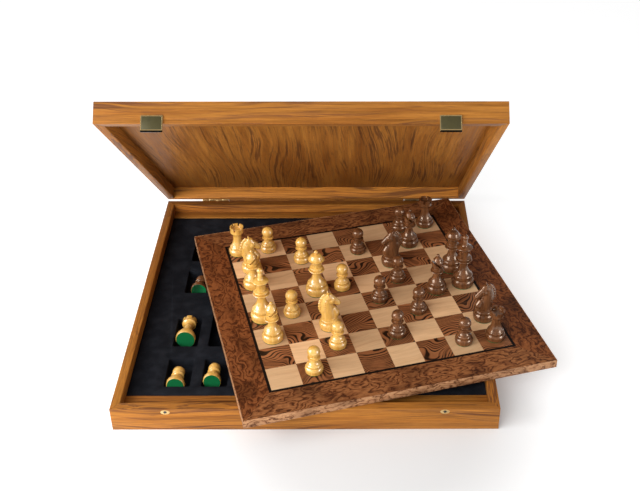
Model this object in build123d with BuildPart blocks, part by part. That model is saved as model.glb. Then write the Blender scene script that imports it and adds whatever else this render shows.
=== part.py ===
"""Chess box with a hinged lid, a foam insert for the men, and its loose chessboard.

Frame: millimetres, +X to the right, +Y towards the hinges, +Z up. The origin is the
centre of the underside of the base. The lid stands part open, as it is drawn here.
"""

from build123d import *
import os
from math import atan2, cos, radians, sin

os.makedirs("parts", exist_ok=True)

# ---------------------------------------------------------------- driving dimensions

# base and lid carcases
box_width = 470.0
box_depth = 470.0
base_height = 33.8
lid_height = 26.0
rail_thickness = 11.0
rim_gap = 0.4  # air between the two rims when the lid is shut
floor_thickness = 4.0
lid_panel_thickness = 9.0
panel_rebate = 5.0  # how far a panel reaches into the rails
lid_angle = 42.4  # degrees that the lid stands open from shut

# strips and foam inside the base
ledge_height = 16.2
front_ledge_width = 27.0
rear_ledge_width = 16.0
foam_thickness = 14.7
foam_clearance = 0.3
pocket_columns = 8
pocket_margin = 59.7  # from the foam's side to the middle of the first column
pocket_width = 33.0
pocket_floor = 1.2  # foam left under a pocket
pocket_corner = 3.0
pocket_spare = 14.0  # how much longer a pocket is than its man
# The four rows of pockets share out the foam's spare depth: before the first row, then
# between the rows. What is left is behind the last row.
row_gap_shares = (0.163, 0.226, 0.194, 0.226)

# hinges
hinge_spacing = 320.0
hinge_length = 41.6
knuckle_count = 4
knuckle_radius = 2.4
knuckle_gap = 0.3  # between two knuckles, and from a knuckle to the other leaf
pin_radius = 1.0
pin_clearance = 0.05
pin_offset = 3.2  # pin axis behind the rear faces
leaf_thickness = 1.2
leaf_bite = 9.0  # how far a leaf lies on its rail's rear face
screw_head_radius = 2.0
screw_radius = 1.0
screw_length = 8.0
screw_spacing = 24.0
screw_clearance = 0.05
bead_height = 5.0  # of the wooden bead behind the rear rail, below the pin axis
bead_gap = 0.5  # between the bead and a hinge

# magnetic catches
catch_spacing = 337.0
catch_width = 25.0
catch_height = 17.5
catch_overhang = 8.0  # how far a plate hangs below the lid's rim
catch_thickness = 2.0
catch_border = 1.2
catch_face_depth = 0.5
catch_corner = 1.0
keeper_radius = 3.0
keeper_thickness = 0.8
keeper_relief = 0.4
keeper_drop = 4.6
nail_radius = 0.7
nail_length = 6.0
nail_spacing = 14.0
strike_width = 11.6  # oval rings
strike_height = 7.0
strike_bore_radius = 2.0
strike_depth = 1.5
strike_drop = 5.3
magnet_depth = 6.0

# chessboard
board_size = 400.0
board_thickness = 11.7
board_turn = 15.5  # degrees, seen from above
board_side_gap = 57.4  # from the box's left face to the board's leftmost corner
board_pin_gap = 14.0  # from its rearmost corner to the pin axis, so that it clears the lid
board_seat_gap = 0.1
veneer_thickness = 1.2
banding_thickness = 1.0
border_width = 38.2
squares_per_side = 8
stringing_width = 3.6
square_joint = 0.05  # glue line between two squares

# chessmen: height with felt, base diameter
pawn_height = 39.0
pawn_base = 23.4
rook_height = 45.0
rook_base = 26.5
knight_height = 57.0
knight_base = 28.0
bishop_height = 60.0
bishop_base = 28.0
queen_height = 69.0
queen_base = 31.0
king_height = 81.0
king_base = 31.5
felt_thickness = 0.8
felt_inset = 1.2
lying_clearance = 0.15

# Where the men stand: (file, rank) from the board's left front corner. They were set
# down by hand, so they stand a little off the middles of their squares.
LIGHT_MEN = {
    "pawn": [(0.93, 6.96), (1.96, 5.97), (0.94, 3.01), (2.96, 4.0), (0.98, 0.02), (2.01, 1.01)],
    "rook": [(-0.17, 7.08)],
    "knight": [(0.1, 5.9), (2.0, 2.03)],
    "bishop": [(-0.02, 4.94), (0.05, 1.92)],
    "queen": [(2.05, 4.0)],
    "king": [(-0.06, 3.08)],
}
DARK_MEN = {
    "pawn": [
        (4.09, 5.99),
        (4.02, 2.99),
        (4.97, 3.94),
        (5.1, 2.02),
        (6.0, 7.0),
        (4.04, 1.03),
        (6.02, 0.08),
    ],
    "rook": [(7.04, 7.02), (7.09, 0.02)],
    "knight": [(7.1, 1.08), (5.05, 4.94)],
    "bishop": [(6.09, 2.97), (6.05, 5.94)],
    "queen": [(7.04, 4.05)],
    "king": [(7.1, 3.08)],
}
# the back rank from left to right, which sets the lengths of the piece pockets
BACK_RANK = ["rook", "knight", "bishop", "queen", "king", "bishop", "knight", "rook"]
MAN_HEIGHT = {
    "pawn": pawn_height,
    "rook": rook_height,
    "knight": knight_height,
    "bishop": bishop_height,
    "queen": queen_height,
    "king": king_height,
}
MAN_BASE = {
    "pawn": pawn_base,
    "rook": rook_base,
    "knight": knight_base,
    "bishop": bishop_base,
    "queen": queen_base,
    "king": king_base,
}

SIDES = ("front", "rear", "left", "right")

# ---------------------------------------------------------------- places worked out

inner_width = box_width - 2 * rail_thickness
inner_depth = box_depth - 2 * rail_thickness
panel_inset = rail_thickness - panel_rebate
pin_y = box_depth / 2 + pin_offset
pin_z = base_height + rim_gap / 2

# The lid's own frame lies on the pin axis. Its z runs away from the lid's rim and its
# y runs backwards, so the lid's front is at -y however far the lid stands open.
lid_tilt = radians(lid_angle)
LID = Plane(
    origin=(0, pin_y, pin_z), x_dir=(1, 0, 0), z_dir=(0, sin(lid_tilt), cos(lid_tilt))
)
lid_middle_y = -(pin_offset + box_depth / 2)
lid_front_y = -(pin_offset + box_depth)
lid_rim_z = rim_gap / 2

# the middle of the lid's rim
LID_RIM = Plane(
    origin=LID.from_local_coords(Vector(0, lid_middle_y, lid_rim_z)),
    x_dir=LID.x_dir,
    z_dir=LID.z_dir,
)

# The base's leaves are the lid's leaves mirrored in the plane between the two rims.
BASE_HINGE = Plane(origin=(0, pin_y, pin_z), x_dir=(1, 0, 0), z_dir=(0, 0, 1))

board_z = base_height + board_seat_gap
board_angle = radians(board_turn)
board_reach = board_size / 2 * (cos(board_angle) + sin(board_angle))
board_centre_x = board_side_gap + board_reach - box_width / 2
board_centre_y = pin_y - board_pin_gap - board_reach
BOARD = Plane(
    origin=(board_centre_x, board_centre_y, board_z),
    x_dir=(cos(board_angle), sin(board_angle), 0),
    z_dir=(0, 0, 1),
)
BOARD_TOP = BOARD.offset(board_thickness)
core_size = board_size - 2 * banding_thickness
core_thickness = board_thickness - veneer_thickness
stringing_size = core_size - 2 * border_width
field_size = stringing_size - 2 * stringing_width
square_size = field_size / squares_per_side

foam_bottom = floor_thickness
foam_top = foam_bottom + foam_thickness
foam_front = -inner_depth / 2 + front_ledge_width + foam_clearance
foam_back = inner_depth / 2 - rear_ledge_width - foam_clearance
foam_width = inner_width - 2 * foam_clearance
pocket_bottom = foam_bottom + pocket_floor
pocket_depth = foam_top - pocket_bottom
pocket_span = foam_width - 2 * pocket_margin
pocket_pitch = pocket_span / (pocket_columns - 1)
pawn_pocket = pawn_height + pocket_spare
longest_pocket = king_height + pocket_spare
spare_depth = foam_back - foam_front - 2 * (pawn_pocket + longest_pocket)
light_pawn_row, light_piece_row, dark_pawn_row, dark_piece_row = [
    foam_front + sum(lengths) + spare_depth * sum(row_gap_shares[: i + 1])
    for i, lengths in enumerate(
        [(), (pawn_pocket,), (pawn_pocket, longest_pocket), (2 * pawn_pocket, longest_pocket)]
    )
]

hinge_sides = {"left": -hinge_spacing / 2, "right": hinge_spacing / 2}
catch_places = (-catch_spacing / 2, catch_spacing / 2)
knuckle_pitch = hinge_length / knuckle_count
leaf_middle_y = leaf_thickness / 2 - pin_offset
leaf_near = knuckle_radius + knuckle_gap  # from the pin axis to a leaf's plate
strike_plane = Plane.XZ.offset(box_depth / 2)
strike_places = [(x, base_height - strike_drop) for x in catch_places]
catch_middle_z = lid_rim_z - catch_overhang + catch_height / 2
catch_middles = [(x, catch_middle_z) for x in catch_places]
nail_places = [
    (x + shift, catch_middle_z + catch_overhang / 2)
    for x in catch_places
    for shift in (-nail_spacing / 2, nail_spacing / 2)
]

# The catch plates' frame lies on the lid's front face: x along it, y away from the
# rim, z out of it.
LID_FRONT = Plane(
    origin=LID.from_local_coords(Vector(0, lid_front_y, 0)),
    x_dir=LID.x_dir,
    z_dir=-LID.y_dir,
)


# ---------------------------------------------------------------- shared shapes


def finish(builder, name, label):
    """Label a finished sub-part and write it to its own STEP file."""
    builder.part.label = label
    export_step(builder.part, f"parts/{name}.step")


def mitred_outline(side, width, depth, thickness):
    """Points of one side of a frame seen from above, with mitred ends."""
    x, y = width / 2, depth / 2
    xi, yi = x - thickness, y - thickness
    return {
        "front": [(-x, -y), (x, -y), (xi, -yi), (-xi, -yi)],
        "rear": [(-x, y), (x, y), (xi, yi), (-xi, yi)],
        "left": [(-x, -y), (-x, y), (-xi, yi), (-xi, -yi)],
        "right": [(x, -y), (x, y), (xi, yi), (xi, -yi)],
    }[side]


def screw_places(x, up):
    """One leaf's two screws in a frame on the pin axis; their own z runs into the rail."""
    z = up * (leaf_near + leaf_bite / 2)
    return [
        Location((x + offset, leaf_middle_y, z), (90, 0, 0))
        for offset in (-screw_spacing / 2, screw_spacing / 2)
    ]


def leaf_and_knuckles(x, first_knuckle, up):
    """One hinge leaf on a rail's rear face; up is 1 for the lid's leaf, -1 for the base's."""
    with Locations((x, leaf_middle_y, up * (leaf_near + leaf_bite / 2))):
        Box(hinge_length, leaf_thickness, leaf_bite)
    width = knuckle_pitch - knuckle_gap
    for i in range(first_knuckle, knuckle_count, 2):
        knuckle_x = x - hinge_length / 2 + (i + 0.5) * knuckle_pitch
        with Locations((knuckle_x, leaf_middle_y, up * leaf_near / 2)):
            Box(width, leaf_thickness, leaf_near)
        with Locations(Location((knuckle_x, 0, 0), (0, 90, 0))):
            Cylinder(knuckle_radius, width)
    with Locations(Location((x, 0, 0), (0, 90, 0))):
        Cylinder(pin_radius + pin_clearance, 2 * hinge_length, mode=Mode.SUBTRACT)
    # countersunk holes, wide at the leaf's outer face
    with Locations(*screw_places(x, up)):
        Cone(
            screw_head_radius + screw_clearance,
            screw_radius + screw_clearance,
            leaf_thickness,
            mode=Mode.SUBTRACT,
        )


def leaf_screws(x, up):
    """The two countersunk screws of one leaf."""
    with Locations(*screw_places(x, up)):
        Cone(screw_head_radius, screw_radius, leaf_thickness)
        with Locations((0, 0, screw_length / 2)):
            Cylinder(screw_radius, screw_length - leaf_thickness)


def pilot_holes(x, up):
    """Cut the holes of one leaf's screws out of the rail that is being built."""
    depth = screw_length - leaf_thickness + screw_clearance
    with Locations(*screw_places(x, up)):
        with Locations((0, 0, (leaf_thickness + depth) / 2)):
            Cylinder(screw_radius + screw_clearance, depth, mode=Mode.SUBTRACT)


# ---------------------------------------------------------------- base carcase

for side in SIDES:
    with BuildPart() as rail:
        with BuildSketch():
            with BuildLine():
                Polyline(
                    *mitred_outline(side, box_width, box_depth, rail_thickness), close=True
                )
            make_face()
        extrude(amount=base_height)
        # rebate for the floor panel
        with Locations((0, 0, floor_thickness / 2)):
            Box(
                box_width - 2 * panel_inset,
                box_depth - 2 * panel_inset,
                floor_thickness,
                mode=Mode.SUBTRACT,
            )
        if side == "rear":
            with Locations(BASE_HINGE.location):
                for x in hinge_sides.values():
                    pilot_holes(x, -1)
        if side == "front":
            # a shallow counterbore for each ring and a blind hole for its magnet
            with BuildSketch(strike_plane):
                with Locations(*strike_places):
                    Ellipse(strike_width / 2, strike_height / 2)
            extrude(amount=-strike_depth, mode=Mode.SUBTRACT)
            with BuildSketch(strike_plane):
                with Locations(*strike_places):
                    Circle(strike_bore_radius)
            extrude(amount=-magnet_depth, mode=Mode.SUBTRACT)
    finish(rail, f"base_{side}_rail", f"base {side} rail")

with BuildPart() as base_floor_panel:
    with BuildSketch():
        Rectangle(box_width - 2 * panel_inset, box_depth - 2 * panel_inset)
    extrude(amount=floor_thickness)
finish(base_floor_panel, "base_floor_panel", "base floor panel")

with BuildPart() as front_ledge_strip:
    with BuildSketch(Plane.XY.offset(floor_thickness)):
        with Locations((0, -inner_depth / 2 + front_ledge_width / 2)):
            Rectangle(inner_width, front_ledge_width)
    extrude(amount=ledge_height)
finish(front_ledge_strip, "front_ledge_strip", "front ledge strip")

with BuildPart() as rear_ledge_strip:
    with BuildSketch(Plane.XY.offset(floor_thickness)):
        with Locations((0, inner_depth / 2 - rear_ledge_width / 2)):
            Rectangle(inner_width, rear_ledge_width)
    extrude(amount=ledge_height)
finish(rear_ledge_strip, "rear_ledge_strip", "rear ledge strip")

# A bead behind the rear rail closes the gap between the two hinges. Its round edge lies
# on the pin axis, so the lid's corner turns round it.
with BuildPart(BASE_HINGE) as rear_bead:
    bead_length = hinge_spacing - hinge_length - 2 * bead_gap
    bead_top = -rim_gap / 2
    with Locations(
        (0, (knuckle_radius - pin_offset) / 2, bead_top - (bead_height + bead_top) / 2)
    ):
        Box(bead_length, pin_offset + knuckle_radius, bead_height + bead_top)
    with Locations(Location((0, 0, 0), (0, 90, 0))):
        Cylinder(knuckle_radius, bead_length)
finish(rear_bead, "rear_bead", "rear bead")

# ---------------------------------------------------------------- foam insert


def pockets():
    """Every pocket of the foam: its column, its row's front end, and its length."""
    for column in range(pocket_columns):
        x = -pocket_span / 2 + column * pocket_pitch
        man = BACK_RANK[column]
        yield x, light_pawn_row, pawn_pocket
        yield x, light_piece_row, MAN_HEIGHT[man] + pocket_spare
        yield x, dark_pawn_row, pawn_pocket
        yield x, dark_piece_row, MAN_HEIGHT[man] + pocket_spare


with BuildPart() as foam_insert:
    with BuildSketch(Plane.XY.offset(foam_bottom)):
        with Locations((0, (foam_front + foam_back) / 2)):
            Rectangle(foam_width, foam_back - foam_front)
    extrude(amount=foam_thickness)
    with BuildSketch(Plane.XY.offset(pocket_bottom)):
        for x, front, length in pockets():
            with Locations((x, front + length / 2)):
                RectangleRounded(pocket_width, length, pocket_corner)
    extrude(amount=pocket_depth, mode=Mode.SUBTRACT)
finish(foam_insert, "foam_insert", "foam insert")

# ---------------------------------------------------------------- magnetic strikes

with BuildPart() as strike_rings:
    with BuildSketch(strike_plane):
        with Locations(*strike_places):
            Ellipse(strike_width / 2, strike_height / 2)
            Circle(strike_bore_radius, mode=Mode.SUBTRACT)
    extrude(amount=-strike_depth)
finish(strike_rings, "strike_rings", "strike rings")

with BuildPart() as strike_magnets:
    with BuildSketch(strike_plane.offset(-screw_clearance)):
        with Locations(*strike_places):
            Circle(strike_bore_radius - screw_clearance)
    extrude(amount=-(magnet_depth - screw_clearance))
finish(strike_magnets, "strike_magnets", "strike magnets")

# ---------------------------------------------------------------- hinges

for side, x in hinge_sides.items():
    with BuildPart(BASE_HINGE) as base_leaf:
        leaf_and_knuckles(x, 0, -1)
    finish(base_leaf, f"{side}_hinge_base_leaf", f"{side} hinge base leaf")

    with BuildPart(LID) as lid_leaf:
        leaf_and_knuckles(x, 1, 1)
    finish(lid_leaf, f"{side}_hinge_lid_leaf", f"{side} hinge lid leaf")

    with BuildPart(BASE_HINGE) as hinge_pin:
        with Locations(Location((x, 0, 0), (0, 90, 0))):
            Cylinder(pin_radius, hinge_length)
    finish(hinge_pin, f"{side}_hinge_pin", f"{side} hinge pin")

with BuildPart(BASE_HINGE) as base_hinge_screws:
    for x in hinge_sides.values():
        leaf_screws(x, -1)
finish(base_hinge_screws, "base_hinge_screws", "base hinge screws")

with BuildPart(LID) as lid_hinge_screws:
    for x in hinge_sides.values():
        leaf_screws(x, 1)
finish(lid_hinge_screws, "lid_hinge_screws", "lid hinge screws")

# ---------------------------------------------------------------- lid carcase

for side in SIDES:
    with BuildPart(LID) as lid_rail:
        with BuildSketch(LID_RIM):
            with BuildLine():
                Polyline(
                    *mitred_outline(side, box_width, box_depth, rail_thickness), close=True
                )
            make_face()
        extrude(amount=lid_height)
        # rebate for the top panel
        with Locations((0, lid_middle_y, lid_rim_z + lid_height - lid_panel_thickness / 2)):
            Box(
                box_width - 2 * panel_inset,
                box_depth - 2 * panel_inset,
                lid_panel_thickness,
                mode=Mode.SUBTRACT,
            )
        if side == "rear":
            for x in hinge_sides.values():
                pilot_holes(x, 1)
        if side == "front":
            # blind holes for the nails of the catch plates
            with BuildSketch(LID_FRONT):
                with Locations(*nail_places):
                    Circle(nail_radius + screw_clearance)
            extrude(amount=-nail_length, mode=Mode.SUBTRACT)
    finish(lid_rail, f"lid_{side}_rail", f"lid {side} rail")

with BuildPart(LID) as lid_top_panel:
    with Locations((0, lid_middle_y, lid_rim_z + lid_height - lid_panel_thickness / 2)):
        Box(box_width - 2 * panel_inset, box_depth - 2 * panel_inset, lid_panel_thickness)
finish(lid_top_panel, "lid_top_panel", "lid top panel")

# ---------------------------------------------------------------- catch plates

face_width = catch_width - 2 * catch_border
face_height = catch_height - 2 * catch_border
keeper_middles = [(x, lid_rim_z - keeper_drop) for x in catch_places]

with BuildPart() as catch_plates:
    with BuildSketch(LID_FRONT):
        with Locations(*catch_middles):
            RectangleRounded(catch_width, catch_height, catch_corner)
    extrude(amount=catch_thickness)
    with BuildSketch(LID_FRONT.offset(catch_thickness)):
        with Locations(*catch_middles):
            Rectangle(face_width, face_height)
    extrude(amount=-catch_face_depth, mode=Mode.SUBTRACT)
    # the overhang stands a little off the base's front face when the lid is shut
    with BuildSketch(LID_FRONT):
        with Locations(*[(x, lid_rim_z - catch_overhang / 2) for x in catch_places]):
            Rectangle(catch_width, catch_overhang)
    extrude(amount=keeper_relief, mode=Mode.SUBTRACT)
    with BuildSketch(LID_FRONT.offset(keeper_relief)):
        with Locations(*keeper_middles):
            Circle(keeper_radius)
    extrude(amount=keeper_thickness, mode=Mode.SUBTRACT)
    with BuildSketch(LID_FRONT):
        with Locations(*nail_places):
            Circle(nail_radius + screw_clearance)
    extrude(amount=catch_thickness, mode=Mode.SUBTRACT)
finish(catch_plates, "catch_plates", "catch plates")

with BuildPart() as catch_faces:
    with BuildSketch(LID_FRONT.offset(catch_thickness - catch_face_depth)):
        with Locations(*catch_middles):
            Rectangle(face_width, face_height)
    extrude(amount=catch_face_depth)
finish(catch_faces, "catch_faces", "catch faces")

with BuildPart() as catch_keepers:
    with BuildSketch(LID_FRONT.offset(keeper_relief)):
        with Locations(*keeper_middles):
            Circle(keeper_radius - screw_clearance)
    extrude(amount=keeper_thickness)
finish(catch_keepers, "catch_keepers", "catch keepers")

with BuildPart() as catch_nails:
    with BuildSketch(LID_FRONT.offset(catch_thickness - catch_face_depth)):
        with Locations(*nail_places):
            Circle(nail_radius)
    extrude(amount=-(nail_length + catch_thickness - catch_face_depth - screw_clearance))
finish(catch_nails, "catch_nails", "catch nails")

# ---------------------------------------------------------------- chessboard

with BuildPart(BOARD) as board_core:
    with Locations((0, 0, core_thickness / 2)):
        Box(core_size, core_size, core_thickness)
finish(board_core, "board_core", "board core")

for side in SIDES:
    with BuildPart(BOARD) as border:
        with BuildSketch(BOARD.offset(core_thickness)):
            with BuildLine():
                Polyline(
                    *mitred_outline(side, core_size, core_size, border_width), close=True
                )
            make_face()
        extrude(amount=veneer_thickness)
    finish(border, f"board_{side}_border", f"board {side} border")

with BuildPart(BOARD) as board_stringing:
    with BuildSketch(BOARD.offset(core_thickness)):
        Rectangle(stringing_size, stringing_size)
        Rectangle(field_size, field_size, mode=Mode.SUBTRACT)
    extrude(amount=veneer_thickness)
finish(board_stringing, "board_stringing", "board stringing")

for side in SIDES:
    with BuildPart() as banding:
        with BuildSketch(BOARD):
            with BuildLine():
                Polyline(
                    *mitred_outline(side, board_size, board_size, banding_thickness), close=True
                )
            make_face()
        extrude(amount=board_thickness)
    finish(banding, f"board_{side}_banding", f"board {side} banding")


def square_middle(file, rank):
    """The middle of one square in the board's own frame."""
    middle = (squares_per_side - 1) / 2
    return ((file - middle) * square_size, (rank - middle) * square_size)


for name, parity in (("light_squares", 0), ("dark_squares", 1)):
    with BuildPart() as squares:
        with BuildSketch(BOARD.offset(core_thickness)):
            for file in range(squares_per_side):
                for rank in range(squares_per_side):
                    if (file + rank) % 2 == parity:
                        with Locations(square_middle(file, rank)):
                            Rectangle(square_size - square_joint, square_size - square_joint)
        extrude(amount=veneer_thickness)
    finish(squares, name, name.replace("_", " "))

# ---------------------------------------------------------------- chessmen

# Half-outlines of the turned men from the foot up: radius as a share of the base's
# radius, height as a share of the man's wood, and the bulge of the arc that leads there
# as a share of its chord (0 is straight, below 0 is hollow).
FOOT = [(0.93, 0.0, 0.0), (0.98, 0.07, 0.2)]
OUTLINES = {
    "pawn": FOOT
    + [
        (0.84, 0.23, 0.16),
        (0.76, 0.245, 0.0),
        (0.70, 0.33, 0.15),
        (0.45, 0.50, -0.12),
        (0.45, 0.535, 0.0),
        (0.66, 0.555, 0.0),
        (0.66, 0.59, 0.5),
    ],
    "rook": FOOT
    + [
        (0.86, 0.20, 0.16),
        (0.78, 0.21, 0.0),
        (0.72, 0.30, 0.15),
        (0.46, 0.62, -0.08),
        (0.46, 0.66, 0.0),
        (0.50, 0.72, -0.1),
        (0.70, 0.80, -0.15),
        (0.73, 1.0, 0.0),
        (0.56, 1.0, 0.0),
        (0.54, 0.88, 0.0),
        (0.0, 0.88, 0.0),
    ],
    "knight": FOOT
    + [
        (0.86, 0.19, 0.16),
        (0.78, 0.20, 0.0),
        (0.72, 0.27, 0.15),
        (0.0, 0.27, 0.0),
    ],
    "bishop": FOOT
    + [
        (0.86, 0.17, 0.16),
        (0.78, 0.18, 0.0),
        (0.70, 0.27, 0.15),
        (0.36, 0.50, -0.10),
        (0.36, 0.525, 0.0),
        (0.62, 0.54, 0.0),
        (0.62, 0.57, 0.5),
        (0.42, 0.585, 0.0),
        (0.54, 0.60, 0.0),
        (0.54, 0.62, 0.5),
        (0.38, 0.635, 0.0),
        (0.52, 0.75, 0.2),
        (0.12, 0.935, 0.18),
    ],
    "queen": FOOT
    + [
        (0.88, 0.16, 0.16),
        (0.80, 0.17, 0.0),
        (0.72, 0.27, 0.15),
        (0.36, 0.50, -0.10),
        (0.36, 0.52, 0.0),
        (0.66, 0.535, 0.0),
        (0.66, 0.56, 0.5),
        (0.44, 0.575, 0.0),
        (0.56, 0.59, 0.0),
        (0.56, 0.605, 0.5),
        (0.42, 0.62, 0.0),
        (0.68, 0.785, -0.08),
        (0.70, 0.80, 0.5),
        (0.58, 0.81, 0.0),
        (0.17, 0.925, 0.2),
    ],
    "king": FOOT
    + [
        (0.88, 0.14, 0.16),
        (0.80, 0.15, 0.0),
        (0.72, 0.24, 0.15),
        (0.36, 0.46, -0.10),
        (0.36, 0.48, 0.0),
        (0.66, 0.495, 0.0),
        (0.66, 0.52, 0.5),
        (0.44, 0.53, 0.0),
        (0.60, 0.545, 0.0),
        (0.60, 0.565, 0.5),
        (0.42, 0.58, 0.0),
        (0.64, 0.745, -0.06),
        (0.64, 0.765, 0.3),
        (0.27, 0.79, 0.1),
        (0.20, 0.83, -0.05),
        (0.22, 0.88, 0.0),
    ],
}
# Ball heads, as a share of the base's radius.
BALLS = {"pawn": 0.69, "bishop": 0.15, "queen": 0.19, "king": 0.26}

# The carved horse seen from its right, in the same shares; it looks along +x. A third
# pair is the point that an arc passes through on its way.
HORSE = [
    ((-0.70, 0.25), None),
    ((-0.62, 0.93), (-0.98, 0.58)),
    ((-0.12, 1.0), None),
    ((0.30, 0.88), None),
    ((0.99, 0.68), (0.68, 0.80)),
    ((0.92, 0.57), (1.05, 0.62)),
    ((0.42, 0.54), (0.62, 0.59)),
    ((0.60, 0.25), (0.97, 0.40)),
]
# Shares of a base's radius (_r) and of the height of a man's wood (_h).
NECK_SHARE_R = 0.72  # the neck under a ball, as a share of what it would be
HORSE_WIDTH_R = 0.88
MITRE_CUT_REACH_R, MITRE_CUT_LENGTH_R, MITRE_CUT_RISE_H = 0.26, 0.8, 0.775
CRENEL_DEPTH_H = 0.08
mitre_cut_width = 1.2
mitre_cut_slope = 48.0  # degrees up from level, away from the bishop's axis
crenel_width = 2.4
crenel_cuts = 3


def draw_turning(kind):
    """Draw the closed half-outline of one man's wood in the XZ plane."""
    radius = MAN_BASE[kind] / 2
    height = MAN_HEIGHT[kind] - felt_thickness
    here = (0.0, felt_thickness)
    for share_r, share_z, bulge in OUTLINES[kind]:
        there = (share_r * radius, felt_thickness + share_z * height)
        if bulge:
            dx, dz = there[0] - here[0], there[1] - here[1]
            middle = (
                (here[0] + there[0]) / 2 + dz * bulge,
                (here[1] + there[1]) / 2 - dx * bulge,
            )
            ThreePointArc(here, middle, there)
        else:
            Line(here, there)
        here = there
    top = felt_thickness + height
    if kind in BALLS:
        ball = BALLS[kind] * radius
        middle_z = top - ball
        # a line from the outline's last point leads to the ball's neck
        neck = min(here[0], ball) * NECK_SHARE_R
        drop = (ball**2 - neck**2) ** 0.5
        start = (neck, middle_z - drop)
        Line(here, start)
        ThreePointArc(start, (ball, middle_z), (0.0, top))
        here = (0.0, top)
    Line(here, (0.0, felt_thickness))


def draw_horse(radius, height):
    """Draw the closed profile of the knight's horse in the XZ plane."""
    here = None
    for (x, z), through in HORSE:
        there = (x * radius, z * height)
        if here and through:
            ThreePointArc(here, (through[0] * radius, through[1] * height), there)
        elif here:
            Line(here, there)
        here = there
    first_x, first_z = HORSE[0][0]
    Line(here, (first_x * radius, first_z * height))


def make_man(kind):
    """One man standing on the origin, looking along +x."""
    radius = MAN_BASE[kind] / 2
    height = MAN_HEIGHT[kind]
    wood = height - felt_thickness
    with BuildPart() as man:
        with BuildSketch(Plane.XZ):
            with BuildLine():
                draw_turning(kind)
            make_face()
        revolve(axis=Axis.Z)
        if kind == "rook":
            depth = CRENEL_DEPTH_H * wood
            for i in range(crenel_cuts):
                with Locations(
                    Location((0, 0, height - depth / 2), (0, 0, 180 * i / crenel_cuts))
                ):
                    Box(2 * radius, crenel_width, depth, mode=Mode.SUBTRACT)
        if kind == "bishop":
            with Locations(
                Location(
                    (MITRE_CUT_REACH_R * radius, 0, felt_thickness + MITRE_CUT_RISE_H * wood),
                    (0, 90 - mitre_cut_slope, 0),
                )
            ):
                Box(
                    mitre_cut_width,
                    2 * radius,
                    MITRE_CUT_LENGTH_R * radius,
                    mode=Mode.SUBTRACT,
                )
        if kind == "knight":
            with BuildSketch(Plane.XZ):
                with BuildLine():
                    draw_horse(radius, height)
                make_face()
            extrude(amount=HORSE_WIDTH_R * radius / 2, both=True)
    return man.part


MEN = {kind: make_man(kind) for kind in OUTLINES}


def stand_men(colour, men, turn):
    """One node for each kind of man of one colour, on its squares."""
    for kind, places in men.items():
        name = f"{colour}_{kind}" + ("s" if len(places) > 1 else "")
        with BuildPart(BOARD_TOP) as group:
            with Locations(
                *[Location((*square_middle(*place), 0), (0, 0, turn)) for place in places]
            ):
                add(MEN[kind])
        finish(group, name, name.replace("_", " "))
    with BuildPart(BOARD_TOP) as felts:
        for kind, places in men.items():
            with Locations(*[(*square_middle(*place), felt_thickness / 2) for place in places]):
                Cylinder(MAN_BASE[kind] / 2 - felt_inset, felt_thickness)
    finish(felts, f"{colour}_felts", f"{colour} felts")


stand_men("light", LIGHT_MEN, 0)
stand_men("dark", DARK_MEN, 180)

# ---------------------------------------------------------------- men put away

# A man lies on its side in its pocket with its foot towards the front, resting on the
# rim of its base and on its head.
HEAD_REST = {"pawn": (BALLS["pawn"], 0.80), "rook": (0.73, 0.99)}
FOOT_REST = 0.14  # height of the base's widest ring, as a share of the man's height


def lying_plane(kind, column, row_front, gap, shift):
    """The plane of the underside of a man that lies in a pocket.

    gap is from the pocket's front end to the man's foot, and shift is sideways from the
    pocket's middle.
    """
    radius = MAN_BASE[kind] / 2
    height = MAN_HEIGHT[kind]
    head_share, head_height = HEAD_REST[kind]
    rise = radius * (1 - head_share)
    run = height * (head_height - FOOT_REST)
    tilt = atan2(rise, run)
    x = -pocket_span / 2 + column * pocket_pitch + shift
    z = pocket_bottom + lying_clearance + radius * cos(tilt) + FOOT_REST * height * sin(tilt)
    return Plane(
        origin=(x, row_front + gap, z), x_dir=(1, 0, 0), z_dir=(0, cos(tilt), -sin(tilt))
    )


PUT_AWAY = {
    "light_rook": ("rook", [(0, light_piece_row, 12.5, -1.0)]),
    "light_pawns": ("pawn", [(0, light_pawn_row, 2.0, -2.0), (1, light_pawn_row, 8.5, -3.5)]),
    "dark_pawn": ("pawn", [(0, dark_pawn_row, 5.5, 3.0)]),
}
for name, (kind, places) in PUT_AWAY.items():
    with BuildPart() as stored:
        with Locations(*[lying_plane(kind, *place) for place in places]):
            add(MEN[kind])
    finish(stored, f"stored_{name}", f"stored {name.replace('_', ' ')}")

with BuildPart() as stored_felts:
    for kind, places in PUT_AWAY.values():
        for place in places:
            with BuildSketch(lying_plane(kind, *place)):
                Circle(MAN_BASE[kind] / 2 - felt_inset)
            extrude(amount=felt_thickness)
finish(stored_felts, "stored_felts", "stored felts")
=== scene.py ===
"""Looks of a chess box with a hinged lid, its foam insert, its chessboard and its men.

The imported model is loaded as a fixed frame. The parts of the box and of the board are
copied, softened along their edges and dressed; the men are turned and carved here.
Lengths are in metres unless a name says mm.
"""

from __future__ import annotations

import logging
import math
from dataclasses import dataclass, replace
from enum import Enum
from typing import Iterable, Sequence, Union

import bpy
from mathutils import Euler, Matrix, Vector

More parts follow.
